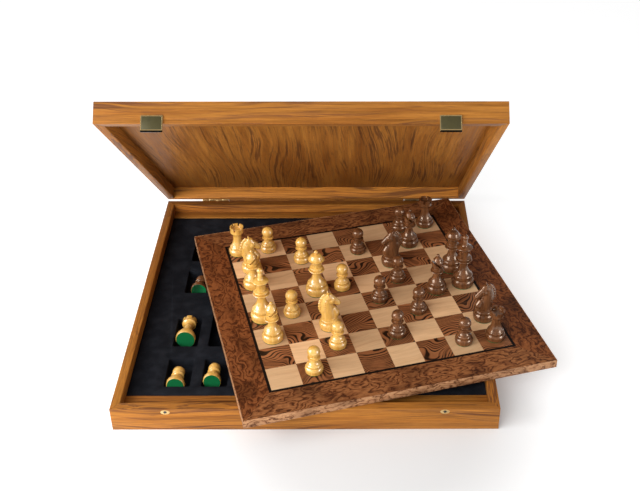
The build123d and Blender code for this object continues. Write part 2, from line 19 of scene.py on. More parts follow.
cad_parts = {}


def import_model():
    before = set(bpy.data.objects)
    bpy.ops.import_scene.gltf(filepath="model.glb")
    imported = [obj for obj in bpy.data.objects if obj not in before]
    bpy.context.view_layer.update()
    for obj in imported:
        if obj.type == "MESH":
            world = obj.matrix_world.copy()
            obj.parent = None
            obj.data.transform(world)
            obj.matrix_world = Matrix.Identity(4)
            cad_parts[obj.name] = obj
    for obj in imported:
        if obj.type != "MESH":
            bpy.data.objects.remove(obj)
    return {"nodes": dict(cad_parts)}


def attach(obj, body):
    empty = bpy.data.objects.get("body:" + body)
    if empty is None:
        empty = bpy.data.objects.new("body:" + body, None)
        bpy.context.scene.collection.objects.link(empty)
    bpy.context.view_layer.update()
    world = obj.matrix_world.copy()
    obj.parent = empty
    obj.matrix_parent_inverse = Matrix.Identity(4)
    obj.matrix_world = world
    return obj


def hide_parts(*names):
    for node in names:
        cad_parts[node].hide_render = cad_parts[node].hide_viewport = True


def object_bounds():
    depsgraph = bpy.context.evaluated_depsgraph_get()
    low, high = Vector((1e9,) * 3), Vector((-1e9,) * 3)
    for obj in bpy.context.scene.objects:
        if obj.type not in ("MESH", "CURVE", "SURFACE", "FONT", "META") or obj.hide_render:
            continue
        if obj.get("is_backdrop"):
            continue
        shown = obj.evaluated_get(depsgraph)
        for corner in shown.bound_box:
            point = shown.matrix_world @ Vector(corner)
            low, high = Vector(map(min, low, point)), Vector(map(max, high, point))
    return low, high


LOG = logging.getLogger("chess_box")
MM = 0.001
MERGE = 0.01 * MM  # vertices nearer to each other than this are one
FLAT = math.radians(0.5)  # faces that meet at less than this are one
ABOVE_ALL = 1.0  # a height above the whole box
BELOW_ALL = -1.0  # and one below it

Triple = tuple[float, float, float]
Colour = Triple
Point = tuple[float, float]
Piece = bpy.types.Object
Material = bpy.types.Material
Socket = bpy.types.NodeSocket
Value = Union[Socket, float, Triple]

UNTURNED: Triple = (0.0, 0.0, 0.0)


# ------------------------------------------------------------------ places


@dataclass(frozen=True)
class Seat:
    """The resting place of a body: its origin and how it is turned there."""

    origin: Triple = (0.0, 0.0, 0.0)
    turn: Triple = UNTURNED

    def matrix(self) -> Matrix:
        """The matrix from the body's own frame to the row's."""
        return Matrix.Translation(self.origin) @ Euler(self.turn).to_matrix().to_4x4()


class Grain(Enum):
    """Which of the seat's axes run along the fibres, across the face and into it."""

    FLAT_X = (0, 1, 2)
    FLAT_Y = (1, 0, 2)
    EDGE_X = (0, 2, 1)
    EDGE_Y = (1, 2, 0)


class Colourway(Enum):
    """The two sides of a chess set."""

    LIGHT = "light"
    DARK = "dark"


def mm(lengths: Iterable[float]) -> tuple[float, ...]:
    """Lengths in metres, from millimetres."""
    return tuple(length * MM for length in lengths)


# ------------------------------------------------------------------ mesh tools


def deselect_all() -> None:
    """Leave edit mode and select nothing."""
    if bpy.context.mode != "OBJECT":
        bpy.ops.object.mode_set(mode="OBJECT")
    bpy.ops.object.select_all(action="DESELECT")


def activate(piece: Piece) -> None:
    """Select one piece alone and make it active.

    Args:
        piece: the object.
    """
    deselect_all()
    piece.select_set(True)
    bpy.context.view_layer.objects.active = piece


def edit_all(piece: Piece) -> None:
    """Open one piece in edit mode with all of it selected.

    Args:
        piece: the object.
    """
    activate(piece)
    bpy.ops.object.mode_set(mode="EDIT")
    bpy.ops.mesh.select_all(action="SELECT")


def leave_edit() -> None:
    """Go back to object mode."""
    bpy.ops.object.mode_set(mode="OBJECT")


def settle(piece: Piece, name: str) -> Piece:
    """Bake a piece's place into its mesh and give it its name.

    Args:
        piece: the object that was modelled.
        name: its name from now on.

    Returns:
        The same object, at the origin.
    """
    deselect_all()
    piece.data.transform(piece.matrix_world)
    piece.matrix_world = Matrix.Identity(4)
    piece.name = name
    piece.data.name = name
    return piece


def apply_modifier(piece: Piece, kind: str, **settings) -> None:
    """Add one modifier to a piece and apply it at once.

    Args:
        piece: the object.
        kind: the modifier's type.
        **settings: its properties.
    """
    activate(piece)
    modifier = piece.modifiers.new(kind.title(), kind)
    for key, value in settings.items():
        setattr(modifier, key, value)
    bpy.ops.object.modifier_apply(modifier=modifier.name)


def soften(piece: Piece, width: float, segments: int = 2, corner: float = 35.0) -> None:
    """Round the sharp edges of a piece.

    Args:
        piece: the object.
        width: how far the rounding reaches from each edge.
        segments: facets across the rounding.
        corner: edges sharper than this many degrees are rounded.
    """
    apply_modifier(
        piece,
        "BEVEL",
        width=width,
        segments=segments,
        limit_method="ANGLE",
        angle_limit=math.radians(corner),
        harden_normals=False,
    )
    smooth(piece)


def smooth(piece: Piece, corner: float = 40.0) -> None:
    """Shade a piece smooth except across sharp edges."""
    activate(piece)
    bpy.ops.object.shade_smooth_by_angle(angle=math.radians(corner))


def clean_copy(node: str, name: str) -> Piece:
    """Copy a part of the frame with its loose triangles joined into faces.

    Args:
        node: the part's name in the frame.
        name: the copy's name.

    Returns:
        The copy, ready to be worked on.
    """
    source = bpy.data.objects[node]
    piece = bpy.data.objects.new(name, source.data.copy())
    bpy.context.scene.collection.objects.link(piece)
    piece.data.materials.clear()
    edit_all(piece)
    bpy.ops.mesh.remove_doubles(threshold=MERGE)
    bpy.ops.mesh.dissolve_limited(angle_limit=FLAT)
    bpy.ops.mesh.normals_make_consistent(inside=False)
    leave_edit()
    piece.data.name = name
    return piece


def join(pieces: Sequence[Piece], name: str) -> Piece:
    """Join pieces into one object.

    Args:
        pieces: the objects; the first takes in the others.
        name: its name from now on.

    Returns:
        The one object.
    """
    deselect_all()
    for piece in pieces:
        piece.select_set(True)
    bpy.context.view_layer.objects.active = pieces[0]
    if len(pieces) > 1:
        bpy.ops.object.join()
    return settle(pieces[0], name)


def copy_to(model: Piece, places: Iterable[Matrix], name: str) -> Piece:
    """Copy one model to several places and join the copies.

    Args:
        model: the model, standing on the origin. It is removed afterwards.
        places: where each copy goes.
        name: the name of the joined object.

    Returns:
        The joined copies.
    """
    copies = []
    for place in places:
        copy = bpy.data.objects.new(name, model.data.copy())
        bpy.context.scene.collection.objects.link(copy)
        copy.data.transform(place)
        copies.append(copy)
    bpy.data.objects.remove(model)
    return join(copies, name)


def cut_away(piece: Piece, cutter: Piece) -> None:
    """Cut one solid out of another and remove the cutter."""
    apply_modifier(piece, "BOOLEAN", operation="DIFFERENCE", object=cutter, solver="EXACT")
    bpy.data.objects.remove(cutter)


def dress(piece: Piece, material: Material, body: str, slot: str, node: str) -> None:
    """Give a piece its material and its body, and hide the part it stands for.

    Args:
        piece: the piece.
        material: its finish.
        body: the body it rides on.
        slot: the name of its material slot; not used.
        node: the part of the frame that it replaces.
    """
    piece.data.materials.clear()
    piece.data.materials.append(material)
    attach(piece, body)
    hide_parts(node)
    LOG.info("%s rides on %s: %d faces", piece.name, body, len(piece.data.polygons))


# ------------------------------------------------------------------ material tools


class Recipe:
    """Builds one node material, a step at a time."""

    def __init__(self, name: str) -> None:
        """Start an empty material.

        Args:
            name: the finish's name.
        """
        self.material = bpy.data.materials.new(name)
        self.material.use_nodes = True
        self.tree = self.material.node_tree
        self.tree.nodes.clear()
        self.shader = self.add("ShaderNodeBsdfPrincipled")
        output = self.add("ShaderNodeOutputMaterial")
        self.feed(output.inputs[0], self.shader.outputs[0])

    def feed(self, socket: Socket, value: Value) -> None:
        """Link an input to another node, or set it.

        Args:
            socket: the input.
            value: a node's output, or a number, vector or colour.
        """
        if isinstance(value, Socket):
            self.tree.links.new(value, socket)
        else:
            socket.default_value = (*value, 1.0) if socket.type == "RGBA" else value

    def add(
        self, kind: str, inputs: dict[str | int, Value] | None = None, **settings
    ) -> bpy.types.Node:
        """Add a node.

        Args:
            kind: its type.
            inputs: what its inputs are fed.
            **settings: its own properties.

        Returns:
            The node.
        """
        node = self.tree.nodes.new(kind)
        for key, value in settings.items():
            setattr(node, key, value)
        for key, value in (inputs or {}).items():
            self.feed(node.inputs[key], value)
        return node

    def where(self) -> Socket:
        """Coordinates in the frame of the piece."""
        return self.add("ShaderNodeTexCoord").outputs["Object"]

    def local(self, seat: Seat, grain: Grain = Grain.FLAT_X) -> Socket:
        """Coordinates in a seat's own frame.

        Args:
            seat: the seat.
            grain: how the fibres run there.

        Returns:
            Coordinates along the grain, across it and into it.
        """
        seated = self.add(
            "ShaderNodeMapping",
            {"Vector": self.where(), "Location": seat.origin, "Rotation": seat.turn},
            vector_type="TEXTURE",
        ).outputs[0]
        parts = self.parts(seated)
        return self.combine(*(parts[axis] for axis in grain.value))

    def stretch(
        self, vector: Socket, scale: Triple = (1.0, 1.0, 1.0), shift: Triple = (0.0, 0.0, 0.0)
    ) -> Socket:
        """Scale and then shift coordinates."""
        inputs = {"Vector": vector, "Scale": scale, "Location": shift}
        return self.add("ShaderNodeMapping", inputs).outputs[0]

    def noise(
        self,
        vector: Socket,
        scale: float = 1.0,
        detail: float = 3.0,
        roughness: float = 0.5,
        distortion: float = 0.0,
    ) -> Socket:
        """Read a noise.

        Args:
            vector: coordinates.
            scale: how fine it is.
            detail: how many finer noises lie on it.
            roughness: how strong those are.
            distortion: how far it is bent.

        Returns:
            A value about 0.5.
        """
        inputs = dict(
            Vector=vector, Scale=scale, Detail=detail, Roughness=roughness, Distortion=distortion
        )
        return self.add("ShaderNodeTexNoise", inputs).outputs["Fac"]

    def maths(self, operation: str, *values: Value) -> Socket:
        """One arithmetic step."""
        inputs = dict(enumerate(values))
        return self.add("ShaderNodeMath", inputs, operation=operation).outputs[0]

    def vector_maths(self, operation: str, *values: Value) -> Socket:
        """One step of vector arithmetic."""
        inputs = dict(enumerate(values))
        return self.add("ShaderNodeVectorMath", inputs, operation=operation).outputs[0]

    def parts(self, vector: Socket) -> list[Socket]:
        """The x, y and z of a vector."""
        return list(self.add("ShaderNodeSeparateXYZ", {0: vector}).outputs)

    def combine(self, *parts: Value) -> Socket:
        """A vector from its parts; one that isn't given is 0."""
        return self.add("ShaderNodeCombineXYZ", dict(enumerate(parts))).outputs[0]

    def ramp(self, value: Socket, stops: Sequence[tuple[float, Colour]]) -> Socket:
        """A colour read along a row of stops.

        Args:
            value: where to read.
            stops: places and their colours.

        Returns:
            The colour.
        """
        node = self.add("ShaderNodeValToRGB", {0: value})
        elements = node.color_ramp.elements
        while len(elements) < len(stops):
            elements.new(0.5)
        for element, (position, colour) in zip(elements, stops):
            element.position = position
            element.color = (*colour, 1.0)
        return node.outputs[0]

    def fade(self, value: Socket, low: float, high: float, out: Point = (0.0, 1.0)) -> Socket:
        """Map a value smoothly onto a range.

        Args:
            value: the value.
            low: where the range begins.
            high: where it ends.
            out: what those two become.

        Returns:
            The mapped value.
        """
        inputs = {"Value": value, 1: low, 2: high, 3: out[0], 4: out[1]}
        node = self.add("ShaderNodeMapRange", inputs, interpolation_type="SMOOTHSTEP")
        return node.outputs[0]

    def blend(self, factor: Value, below: Value, above: Value, mode: str = "MIX") -> Socket:
        """Lay one colour over another."""
        inputs = {0: factor, 6: below, 7: above}
        return self.add("ShaderNodeMix", inputs, data_type="RGBA", blend_type=mode).outputs[2]

    def fibred(
        self, base: Socket, fibre: Socket, share: float, low: Point, high: Point
    ) -> Socket:
        """Darken and lighten a colour along its fibres.

        Args:
            base: the colour.
            fibre: the noise of the fibres.
            share: how much of the effect shows.
            low: a value of the noise and the tone that it gives.
            high: a greater value and its tone.

        Returns:
            The colour with its fibres.
        """
        tones_and_shade = self.ramp(fibre, [(value, (tone,) * 3) for value, tone in (low, high)])
        return self.blend(share, base, tones_and_shade, "MULTIPLY")

    def relief(self, height: Socket, depth: float, strength: float) -> Socket:
        """A normal bent by a height."""
        inputs = {"Height": height, "Distance": depth, "Strength": strength}
        return self.add("ShaderNodeBump", inputs).outputs[0]

    def finish(self, **sockets: Value) -> Material:
        """Feed the shader.

        Args:
            **sockets: its inputs by name, with _ for a space.

        Returns:
            The material.
        """
        for key, value in sockets.items():
            self.feed(self.shader.inputs[key.replace("_", " ")], value)
        return self.material


# ------------------------------------------------------------------ finishes


@dataclass(frozen=True)
class Veneer:
    """Satin veneer: golden wood with long arching growth lines, streaks and pores.

    Attributes:
        grain: how the fibres run on the seat.
        ring_mm: distance between growth lines across the grain.
        arch_mm: how far the growth lines wander sideways.
        arch: how often they wander along a metre of grain.
        lines: how strongly the growth lines show.
        shift: which place of the sheet this piece was cut from.
        rim: height in the seat's frame above which the wood is darkened with painted shade.
        rim_tone: how light the painted shade leaves the wood there.
    """

    name: str
    seat: Seat
    grain: Grain
    light: Colour
    middle: Colour
    dark: Colour
    ring_mm: float = 9.0
    arch_mm: float = 70.0
    arch: float = 4.0
    lines: float = 0.8
    roughness: float = 0.42
    shift: Triple = (0.0, 0.0, 0.0)
    rim: float = ABOVE_ALL
    rim_tone: float = 1.0

    def build(self) -> Material:
        """Mix the finish.

        Returns:
            The material.
        """
        r = Recipe(self.name)
        along = r.stretch(r.local(self.seat, self.grain), shift=self.shift)
        length, across, depth = r.parts(along)
        arch = r.noise(r.stretch(along, (self.arch, 7.0, 7.0)), detail=1.0)
        arch = r.maths("MULTIPLY", arch, self.arch_mm * MM)
        ripple = r.noise(r.stretch(along, (14.0, 90.0, 90.0)), detail=4.0, roughness=0.6)
        ripple = r.maths("MULTIPLY", ripple, self.ring_mm * 0.3 * MM)
        across = r.maths("ADD", r.maths("ADD", across, arch), ripple)
        bent = r.combine(length, across, depth)
        rings = 1.0 / (self.ring_mm * MM)
        sheet = r.noise(r.stretch(bent, (1.6, rings, rings)), detail=4.0, roughness=0.6)
        beside = r.maths("ABSOLUTE", r.maths("SUBTRACT", sheet, 0.5))
        line = r.fade(beside, 0.012, 0.05, (1.0, 0.0))
        ringed = r.ramp(sheet, [(0.34, self.middle), (0.50, self.light), (0.62, self.middle)])
        ringed = r.blend(line, ringed, self.dark)
        streak = r.noise(r.stretch(along, (3.0, 90.0, 90.0)), detail=6.0, roughness=0.7)
        plain = r.ramp(streak, [(0.38, self.middle), (0.60, self.light)])
        place = r.noise(r.stretch(along, (5.0, 26.0, 26.0), shift=(3.1, 0.7, 0.2)), detail=2.0)
        base = r.blend(r.fade(place, 0.40, 0.60, (0.12, self.lines)), plain, ringed)
        shade = r.noise(r.stretch(along, (1.8, 20.0, 20.0), shift=(0.0, 2.3, 1.1)), detail=2.0)
        base = r.blend(r.fade(shade, 0.45, 0.75, (0.0, 0.45)), base, self.middle, "MULTIPLY")
        fibre = r.noise(r.stretch(along, (14.0, 620.0, 620.0)), detail=4.0, roughness=0.65)
        base = r.fibred(base, fibre, 0.9, (0.30, 0.62), (0.70, 1.2))
        fleck = r.noise(r.stretch(along, (26.0, 480.0, 480.0), shift=(0.0, 1.7, 0.4)), detail=2.0)
        base = r.blend(r.fade(fleck, 0.60, 0.70, (0.0, 0.5)), base, self.dark)
        pore = r.noise(r.stretch(along, (90.0, 2400.0, 2400.0)), detail=1.0)
        pores = r.fade(pore, 0.60, 0.70)
        base = r.blend(r.maths("MULTIPLY", pores, 0.35), base, self.dark)
        # Painted shade: above the rim height the wood is darkened, where the lid shades the rail's
        # top.
        above = r.fade(r.parts(r.local(self.seat))[2], self.rim - 1.0 * MM, self.rim)
        base = r.blend(above, base, (self.rim_tone,) * 3, "MULTIPLY")
        height = r.maths("SUBTRACT", r.maths("MULTIPLY", fibre, 0.3), pores)
        return r.finish(
            Base_Color=base,
            Roughness=r.fade(fibre, 0.2, 0.8, (self.roughness - 0.06, self.roughness + 0.1)),
            Specular_IOR_Level=0.12,
            Normal=r.relief(height, 0.05 * MM, 0.6),
        )


@dataclass(frozen=True)
class Burl:
    """Burl veneer: brown wood whose fine dark growth lines swirl like a map's contours.

    Attributes:
        curl: how many swirls there are to a metre.
        lines: how many growth lines there are to a swirl.
        flow: how the swirls are stretched along and across the sheet.
    """

    name: str
    seat: Seat
    dark: Colour = (0.042, 0.013, 0.006)
    middle: Colour = (0.165, 0.053, 0.018)
    light: Colour = (0.34, 0.132, 0.046)
    curl: float = 30.0
    lines: float = 12.0
    flow: Triple = (1.0, 1.0, 1.0)
    roughness: float = 0.42
    shift: Triple = (0.0, 0.0, 0.0)

    def build(self) -> Material:
        """Mix the finish.

        Returns:
            The material.
        """
        r = Recipe(self.name)
        flat = r.stretch(r.local(self.seat), self.flow, shift=self.shift)
        inputs = {"Vector": flat, "Scale": self.curl * 1.6, "Detail": 2.0}
        swirl = r.add("ShaderNodeTexNoise", inputs).outputs["Color"]
        reach = 0.55 / self.curl
        swirl = r.vector_maths("SUBTRACT", swirl, (0.5,) * 3)
        warped = r.vector_maths("ADD", flat, r.vector_maths("MULTIPLY", swirl, (reach,) * 3))
        cloud = r.noise(warped, self.curl, detail=4.0, roughness=0.5)
        ring = r.maths("FRACT", r.maths("MULTIPLY", cloud, self.lines))
        stops = [(0.0, self.dark), (0.07, self.dark), (0.20, self.middle), (0.66, self.light)]
        ringed = r.ramp(ring, stops + [(0.94, self.middle), (1.0, self.dark)])
        tone = r.noise(warped, self.curl * 0.8, detail=3.0)
        plain = r.ramp(tone, [(0.38, self.dark), (0.50, self.middle), (0.66, self.light)])
        base = r.blend(r.fade(tone, 0.34, 0.56, (0.45, 0.92)), plain, ringed)
        eyes = r.add("ShaderNodeTexVoronoi", {"Vector": warped, "Scale": self.curl * 6.0})
        eyes = eyes.outputs["Distance"]
        base = r.blend(r.fade(eyes, 0.06, 0.22, (0.6, 0.0)), base, self.dark)
        fibre = r.noise(r.stretch(warped, (260.0, 620.0, 620.0)), detail=3.0)
        base = r.fibred(base, fibre, 0.6, (0.25, 0.55), (0.75, 1.3))
        return r.finish(
            Base_Color=base,
            Roughness=r.fade(tone, 0.3, 0.7, (self.roughness, self.roughness + 0.1)),
            Specular_IOR_Level=0.1,
            Normal=r.relief(fibre, 0.04 * MM, 0.5),
        )


@dataclass(frozen=True)
class Squares:
    """Veneer squares, each cut from another place in the sheet and turned a little.

    Attributes:
        figure: how far the grain bends.
        lines: how strongly dark growth lines show.
        rings: how many of them there are to a metre.
        spread: the range over which the squares are turned, in radians.
    """

    name: str
    seat: Seat
    square: float
    light: Colour
    middle: Colour
    dark: Colour
    figure: float = 1.0
    lines: float = 0.0
    rings: float = 240.0
    spread: float = 0.35
    roughness: float = 0.36

    def build(self) -> Material:
        """Mix the finish.

        Returns:
            The material.
        """
        r = Recipe(self.name)
        flat = r.local(self.seat)
        cell = r.vector_maths("FLOOR", r.vector_maths("DIVIDE", flat, (self.square,) * 3))
        cell = r.vector_maths("MULTIPLY", cell, (1.0, 1.0, 0.0))
        draw = r.add("ShaderNodeTexWhiteNoise", {"Vector": cell}, noise_dimensions="3D")
        moved = r.vector_maths("ADD", flat, draw.outputs["Color"])
        angle = r.maths("MULTIPLY", r.maths("SUBTRACT", draw.outputs["Value"], 0.5), self.spread)
        inputs = {"Vector": moved, "Angle": angle}
        turned = r.add("ShaderNodeVectorRotate", inputs, rotation_type="Z_AXIS").outputs[0]
        bend = r.noise(r.stretch(turned, (17.0, 20.0, 1.0)), detail=1.0)
        bend = r.maths("MULTIPLY", bend, 60 * MM * self.figure)
        x, y, _ = r.parts(turned)
        bent = r.combine(x, r.maths("ADD", y, bend))
        bands = r.noise(r.stretch(bent, (7.0, 170.0, 1.0)), detail=5.0, roughness=0.6)
        base = r.ramp(bands, [(0.26, self.dark), (0.44, self.middle), (0.64, self.light)])
        if self.lines:
            ring = r.maths("FRACT", r.maths("MULTIPLY", r.parts(bent)[1], self.rings))
            line = r.fade(ring, 0.30, 0.46, (1.0, 0.0))
            where = r.fade(r.noise(r.stretch(turned, (30.0, 60.0, 1.0))), 0.34, 0.50, (0.4, 1.0))
            strength = r.maths("MULTIPLY", r.maths("MULTIPLY", line, where), self.lines)
            base = r.blend(strength, base, self.dark)
        tint = r.fade(draw.outputs["Value"], 0.0, 1.0, (0.82, 1.14))
        tinted = r.add("ShaderNodeCombineColor", {0: tint, 1: tint, 2: tint}).outputs[0]
        base = r.blend(1.0, base, tinted, "MULTIPLY")
        fibre = r.noise(r.stretch(bent, (60.0, 1500.0, 1.0)), detail=2.0)
        base = r.fibred(base, fibre, 0.35, (0.3, 0.65), (0.7, 1.2))
        return r.finish(
            Base_Color=base,
            Roughness=self.roughness,
            Specular_IOR_Level=0.2,
            Normal=r.relief(fibre, 0.03 * MM, 0.4),
        )


@dataclass(frozen=True)
class TurnedWood:
    """Hard polished wood of a turned man, with its grain upright.

    Attributes:
        contrast: how hard the edge is between its light and dark bands.
        coat: weight of the polish.
        glint: colour of the wood's own reflections.
    """

    name: str
    light: Colour
    dark: Colour
    contrast: float
    roughness: float = 0.2
    coat: float = 0.6
    glint: Colour = (1.0, 1.0, 1.0)

    def build(self) -> Material:
        """Mix the finish.

        Returns:
            The material.
        """
        r = Recipe(self.name)
        where = r.where()
        bands = r.noise(r.stretch(where, (190.0, 190.0, 22.0)), detail=4.0, distortion=0.5)
        low, high = 0.5 - 0.2 / self.contrast, 0.5 + 0.2 / self.contrast
        base = r.ramp(bands, [(low, self.dark), (high, self.light)])
        fibre = r.noise(r.stretch(where, (1400.0, 1400.0, 90.0)), detail=2.0)
        base = r.fibred(base, fibre, 0.3, (0.3, 0.7), (0.7, 1.15))
        return r.finish(
            Base_Color=base,
            Roughness=r.fade(bands, 0.3, 0.7, (self.roughness, self.roughness + 0.08)),
            Normal=r.relief(fibre, 0.02 * MM, 0.3),
            Specular_IOR_Level=0.8,
            Specular_Tint=self.glint,
            Coat_Weight=self.coat,
            Coat_Roughness=0.08,
        )


@dataclass(frozen=True)
class Foam:
    """Dense black closed-cell foam with a faint speckle."""

    name: str = "foam"
    colour: Colour = (0.0070, 0.0078, 0.0105)
    speck: Colour = (0.022, 0.024, 0.030)

    def build(self) -> Material:
        """Mix the finish.

        Returns:
            The material.
        """
        r = Recipe(self.name)
        where = r.where()
        cells = r.add("ShaderNodeTexVoronoi", {"Vector": where, "Scale": 950.0})
        cloud = r.noise(where, 60.0, detail=4.0)
        base = r.blend(r.fade(cloud, 0.35, 0.75, (0.0, 0.5)), self.colour, self.speck)
        specks = r.fade(r.noise(where, 1300.0, detail=1.0), 0.66, 0.74)
        base = r.blend(r.maths("MULTIPLY", specks, 0.8), base, self.speck)
        return r.finish(
            Base_Color=base,
            Roughness=0.95,
            Specular_IOR_Level=0.1,
            Normal=r.relief(cells.outputs["Distance"], 0.25 * MM, 0.7),
        )


@dataclass(frozen=True)
class Metal:
    """Drawn or pressed metal with fine brush lines and rubbed places.

    Attributes:
        black_below: the height in the seat's frame below which the metal takes a near-black
            colour.
    """

    name: str
    seat: Seat
    colour: Colour
    tarnish: Colour
    roughness: float = 0.22
    metallic: float = 1.0
    brush: float = 0.15
    black_band_colour: Colour = (0.02, 0.018, 0.012)
    black_below: float = BELOW_ALL

    def build(self) -> Material:
        """Mix the finish.

        Returns:
            The material.
        """
        r = Recipe(self.name)
        where = r.local(self.seat)
        cloud = r.noise(where, 130.0, detail=4.0)
        lines = r.noise(r.stretch(where, (120.0, 5200.0, 5200.0)), detail=2.0)
        base = r.blend(r.fade(cloud, 0.45, 0.8, (0.0, 0.6)), self.colour, self.tarnish)
        # Below black_below the colour is near-black; on the catch plates this is the band along
        # their drawn-down lower end.
        black = r.maths("LESS_THAN", r.parts(where)[2], self.black_below)
        base = r.blend(black, base, self.black_band_colour)
        rough = r.fade(cloud, 0.3, 0.8, (self.roughness, self.roughness + 0.12))
        rough = r.maths("ADD", rough, r.maths("MULTIPLY", lines, self.brush * 0.3))
        return r.finish(
            Base_Color=base,
            Metallic=self.metallic,
            Roughness=rough,
            Normal=r.relief(lines, 0.01 * MM, self.brush),
        )


@dataclass(frozen=True)
class Felt:
    """Short green baize."""

    name: str = "green_felt"
    colour: Colour = (0.0, 0.145, 0.036)
    shade: Colour = (0.0, 0.075, 0.022)

    def build(self) -> Material:
        """Mix the finish.

        Returns:
            The material.
        """
        r = Recipe(self.name)
        where = r.where()
        nap = r.noise(where, 2600.0, detail=3.0, roughness=0.7)
        base = r.blend(r.fade(nap, 0.35, 0.7), self.shade, self.colour)
        return r.finish(
            Base_Color=base,
            Roughness=0.95,
            Specular_IOR_Level=0.1,
            Sheen_Weight=0.1,
            Sheen_Roughness=0.5,
            Normal=r.relief(nap, 0.15 * MM, 0.8),
        )


# ------------------------------------------------------------------ plan

LID_ANGLE = math.radians(42.4)
BOARD_TURN = math.radians(15.5)
BASE_SEAT = Seat()
LID_SEAT = Seat((0.0, 0.2382, 0.034), (-LID_ANGLE, 0.0, 0.0))
BOARD_SEAT = Seat((0.0686, -0.02197, 0.0339), (0.0, 0.0, BOARD_TURN))
BASE_HEIGHT = 33.8 * MM
BOARD_THICKNESS = 11.7 * MM
SQUARE = 39.3 * MM
BOARD_MIDDLE = 3.5  # its file and rank, counted from the corner square's
FELT = 0.8 * MM
ARC_FACET = 0.8 * MM  # length of the facets in a man's outline
BALL_STEPS = 18
SIDES = ("front", "rear", "left", "right")


@dataclass(frozen=True)
class Stand:
    """A man on the board: its file and rank from the board's left front corner."""

    file: float
    rank: float

    def matrix(self, turn: float) -> Matrix:
        """Find the man's place.

        Args:
            turn: how far it is turned about its own axis.

        Returns:
            The matrix from the man's frame to the row's.
        """
        x, y = (self.file - BOARD_MIDDLE) * SQUARE, (self.rank - BOARD_MIDDLE) * SQUARE
        top = Matrix.Translation((x, y, BOARD_THICKNESS))
        return BOARD_SEAT.matrix() @ top @ Matrix.Rotation(turn, 4, "Z")


@dataclass(frozen=True)
class Lying:
    """A man put away in a pocket, on its side with its foot to the front.

    Attributes:
        foot_mm: the middle of its underside.
        tilt: how far its head is lower than its foot, in radians.
    """

    foot_mm: Triple
    tilt: float

    def matrix(self) -> Matrix:
        """The man's place, with its own z pointing backwards and a little down."""
        turn = Matrix.Rotation(-(math.pi / 2 + self.tilt), 4, "X")
        return Matrix.Translation(Vector(self.foot_mm) * MM) @ turn


@dataclass(frozen=True)
class ManKind:
    """One kind of man: its real size and its half-outline.

    Attributes:
        height_mm: height with the felt.
        base_mm: diameter of the foot.
        outline: (radius share, height share, bulge) from the foot up; the bulge bends the
            line that leads there, as a share of its length.
        ball: radius of the ball on top, as a share of the foot's.
        neck: radius where the ball begins, in the same share.
    """

    height_mm: float
    base_mm: float
    outline: tuple[Triple, ...]
    ball: float = 0.0
    neck: float = 0.0

    @property
    def radius(self) -> float:
        """Radius of the foot."""
        return self.base_mm * MM / 2

    @property
    def wood(self) -> float:
        """Height of the wood above the felt."""
        return self.height_mm * MM - FELT

    def height_at(self, share: float) -> float:
        """The height of a share of the wood."""
        return FELT + share * self.wood

    def points(self) -> list[Point]:
        """Divide the outline's arcs.

        Returns:
            The outline's points, from the axis to the axis.
        """
        found = [(0.0, FELT)]
        for share_r, share_z, bulge in self.outline:
            end = (share_r * self.radius, self.height_at(share_z))
            found += bent(found[-1], end, bulge)
        if self.ball:
            radius = self.ball * self.radius
            middle = self.height_at(1.0) - radius
            start = math.asin(self.neck / self.ball)
            for step in range(BALL_STEPS + 1):
                angle = start + (math.pi - start) * step / BALL_STEPS
                found.append((radius * math.sin(angle), middle - radius * math.cos(angle)))
        if found[-1][0] > 0.001 * MM:
            found.append((0.0, found[-1][1]))
        return found


def bent(start: Point, end: Point, bulge: float) -> list[Point]:
    """Points of an arc from start to end, without the start.

    Args:
        start: where the arc begins.
        end: where it ends.
        bulge: its rise over its chord; 0 is a straight line and below 0 is hollow.

    Returns:
        The points in order, the last being the end.
    """
    length = math.dist(start, end)
    steps = 1 if abs(bulge) < 0.01 else max(3, min(12, round(length / ARC_FACET) + 2))
    dx, dz = end[0] - start[0], end[1] - start[1]
    points = []
    for step in range(1, steps + 1):
        along = step / steps
        rise = 4 * bulge * along * (1 - along)
        points.append((start[0] + dx * along + dz * rise, start[1] + dz * along - dx * rise))
    return points


def bowl(shoulder: float, height: float) -> tuple[Triple, ...]:
    """The foot that all the men share: a bowl, a groove and a bead.

    Args:
        shoulder: radius share at the bowl's top.
        height: height share of the bowl's top.

    Returns:
        Outline points up to the bead.
    """
    return (
        (0.90, 0.0, 0.0),
        (0.965, 0.10 * height, 0.25),
        (0.975, 0.30 * height, 0.08),
        (shoulder, height, 0.15),
        (shoulder - 0.07, height + 0.004, 0.0),
        (shoulder - 0.07, height + 0.016, 0.0),
        (shoulder - 0.04, height + 0.024, 0.3),
    )


def collar(radius: float, height: float, thickness: float) -> tuple[Triple, ...]:
    """A collar with a rounded rim and a hollow underside."""
    return ((radius - 0.02, height, -0.12), (radius - 0.02, height + thickness, 0.5))


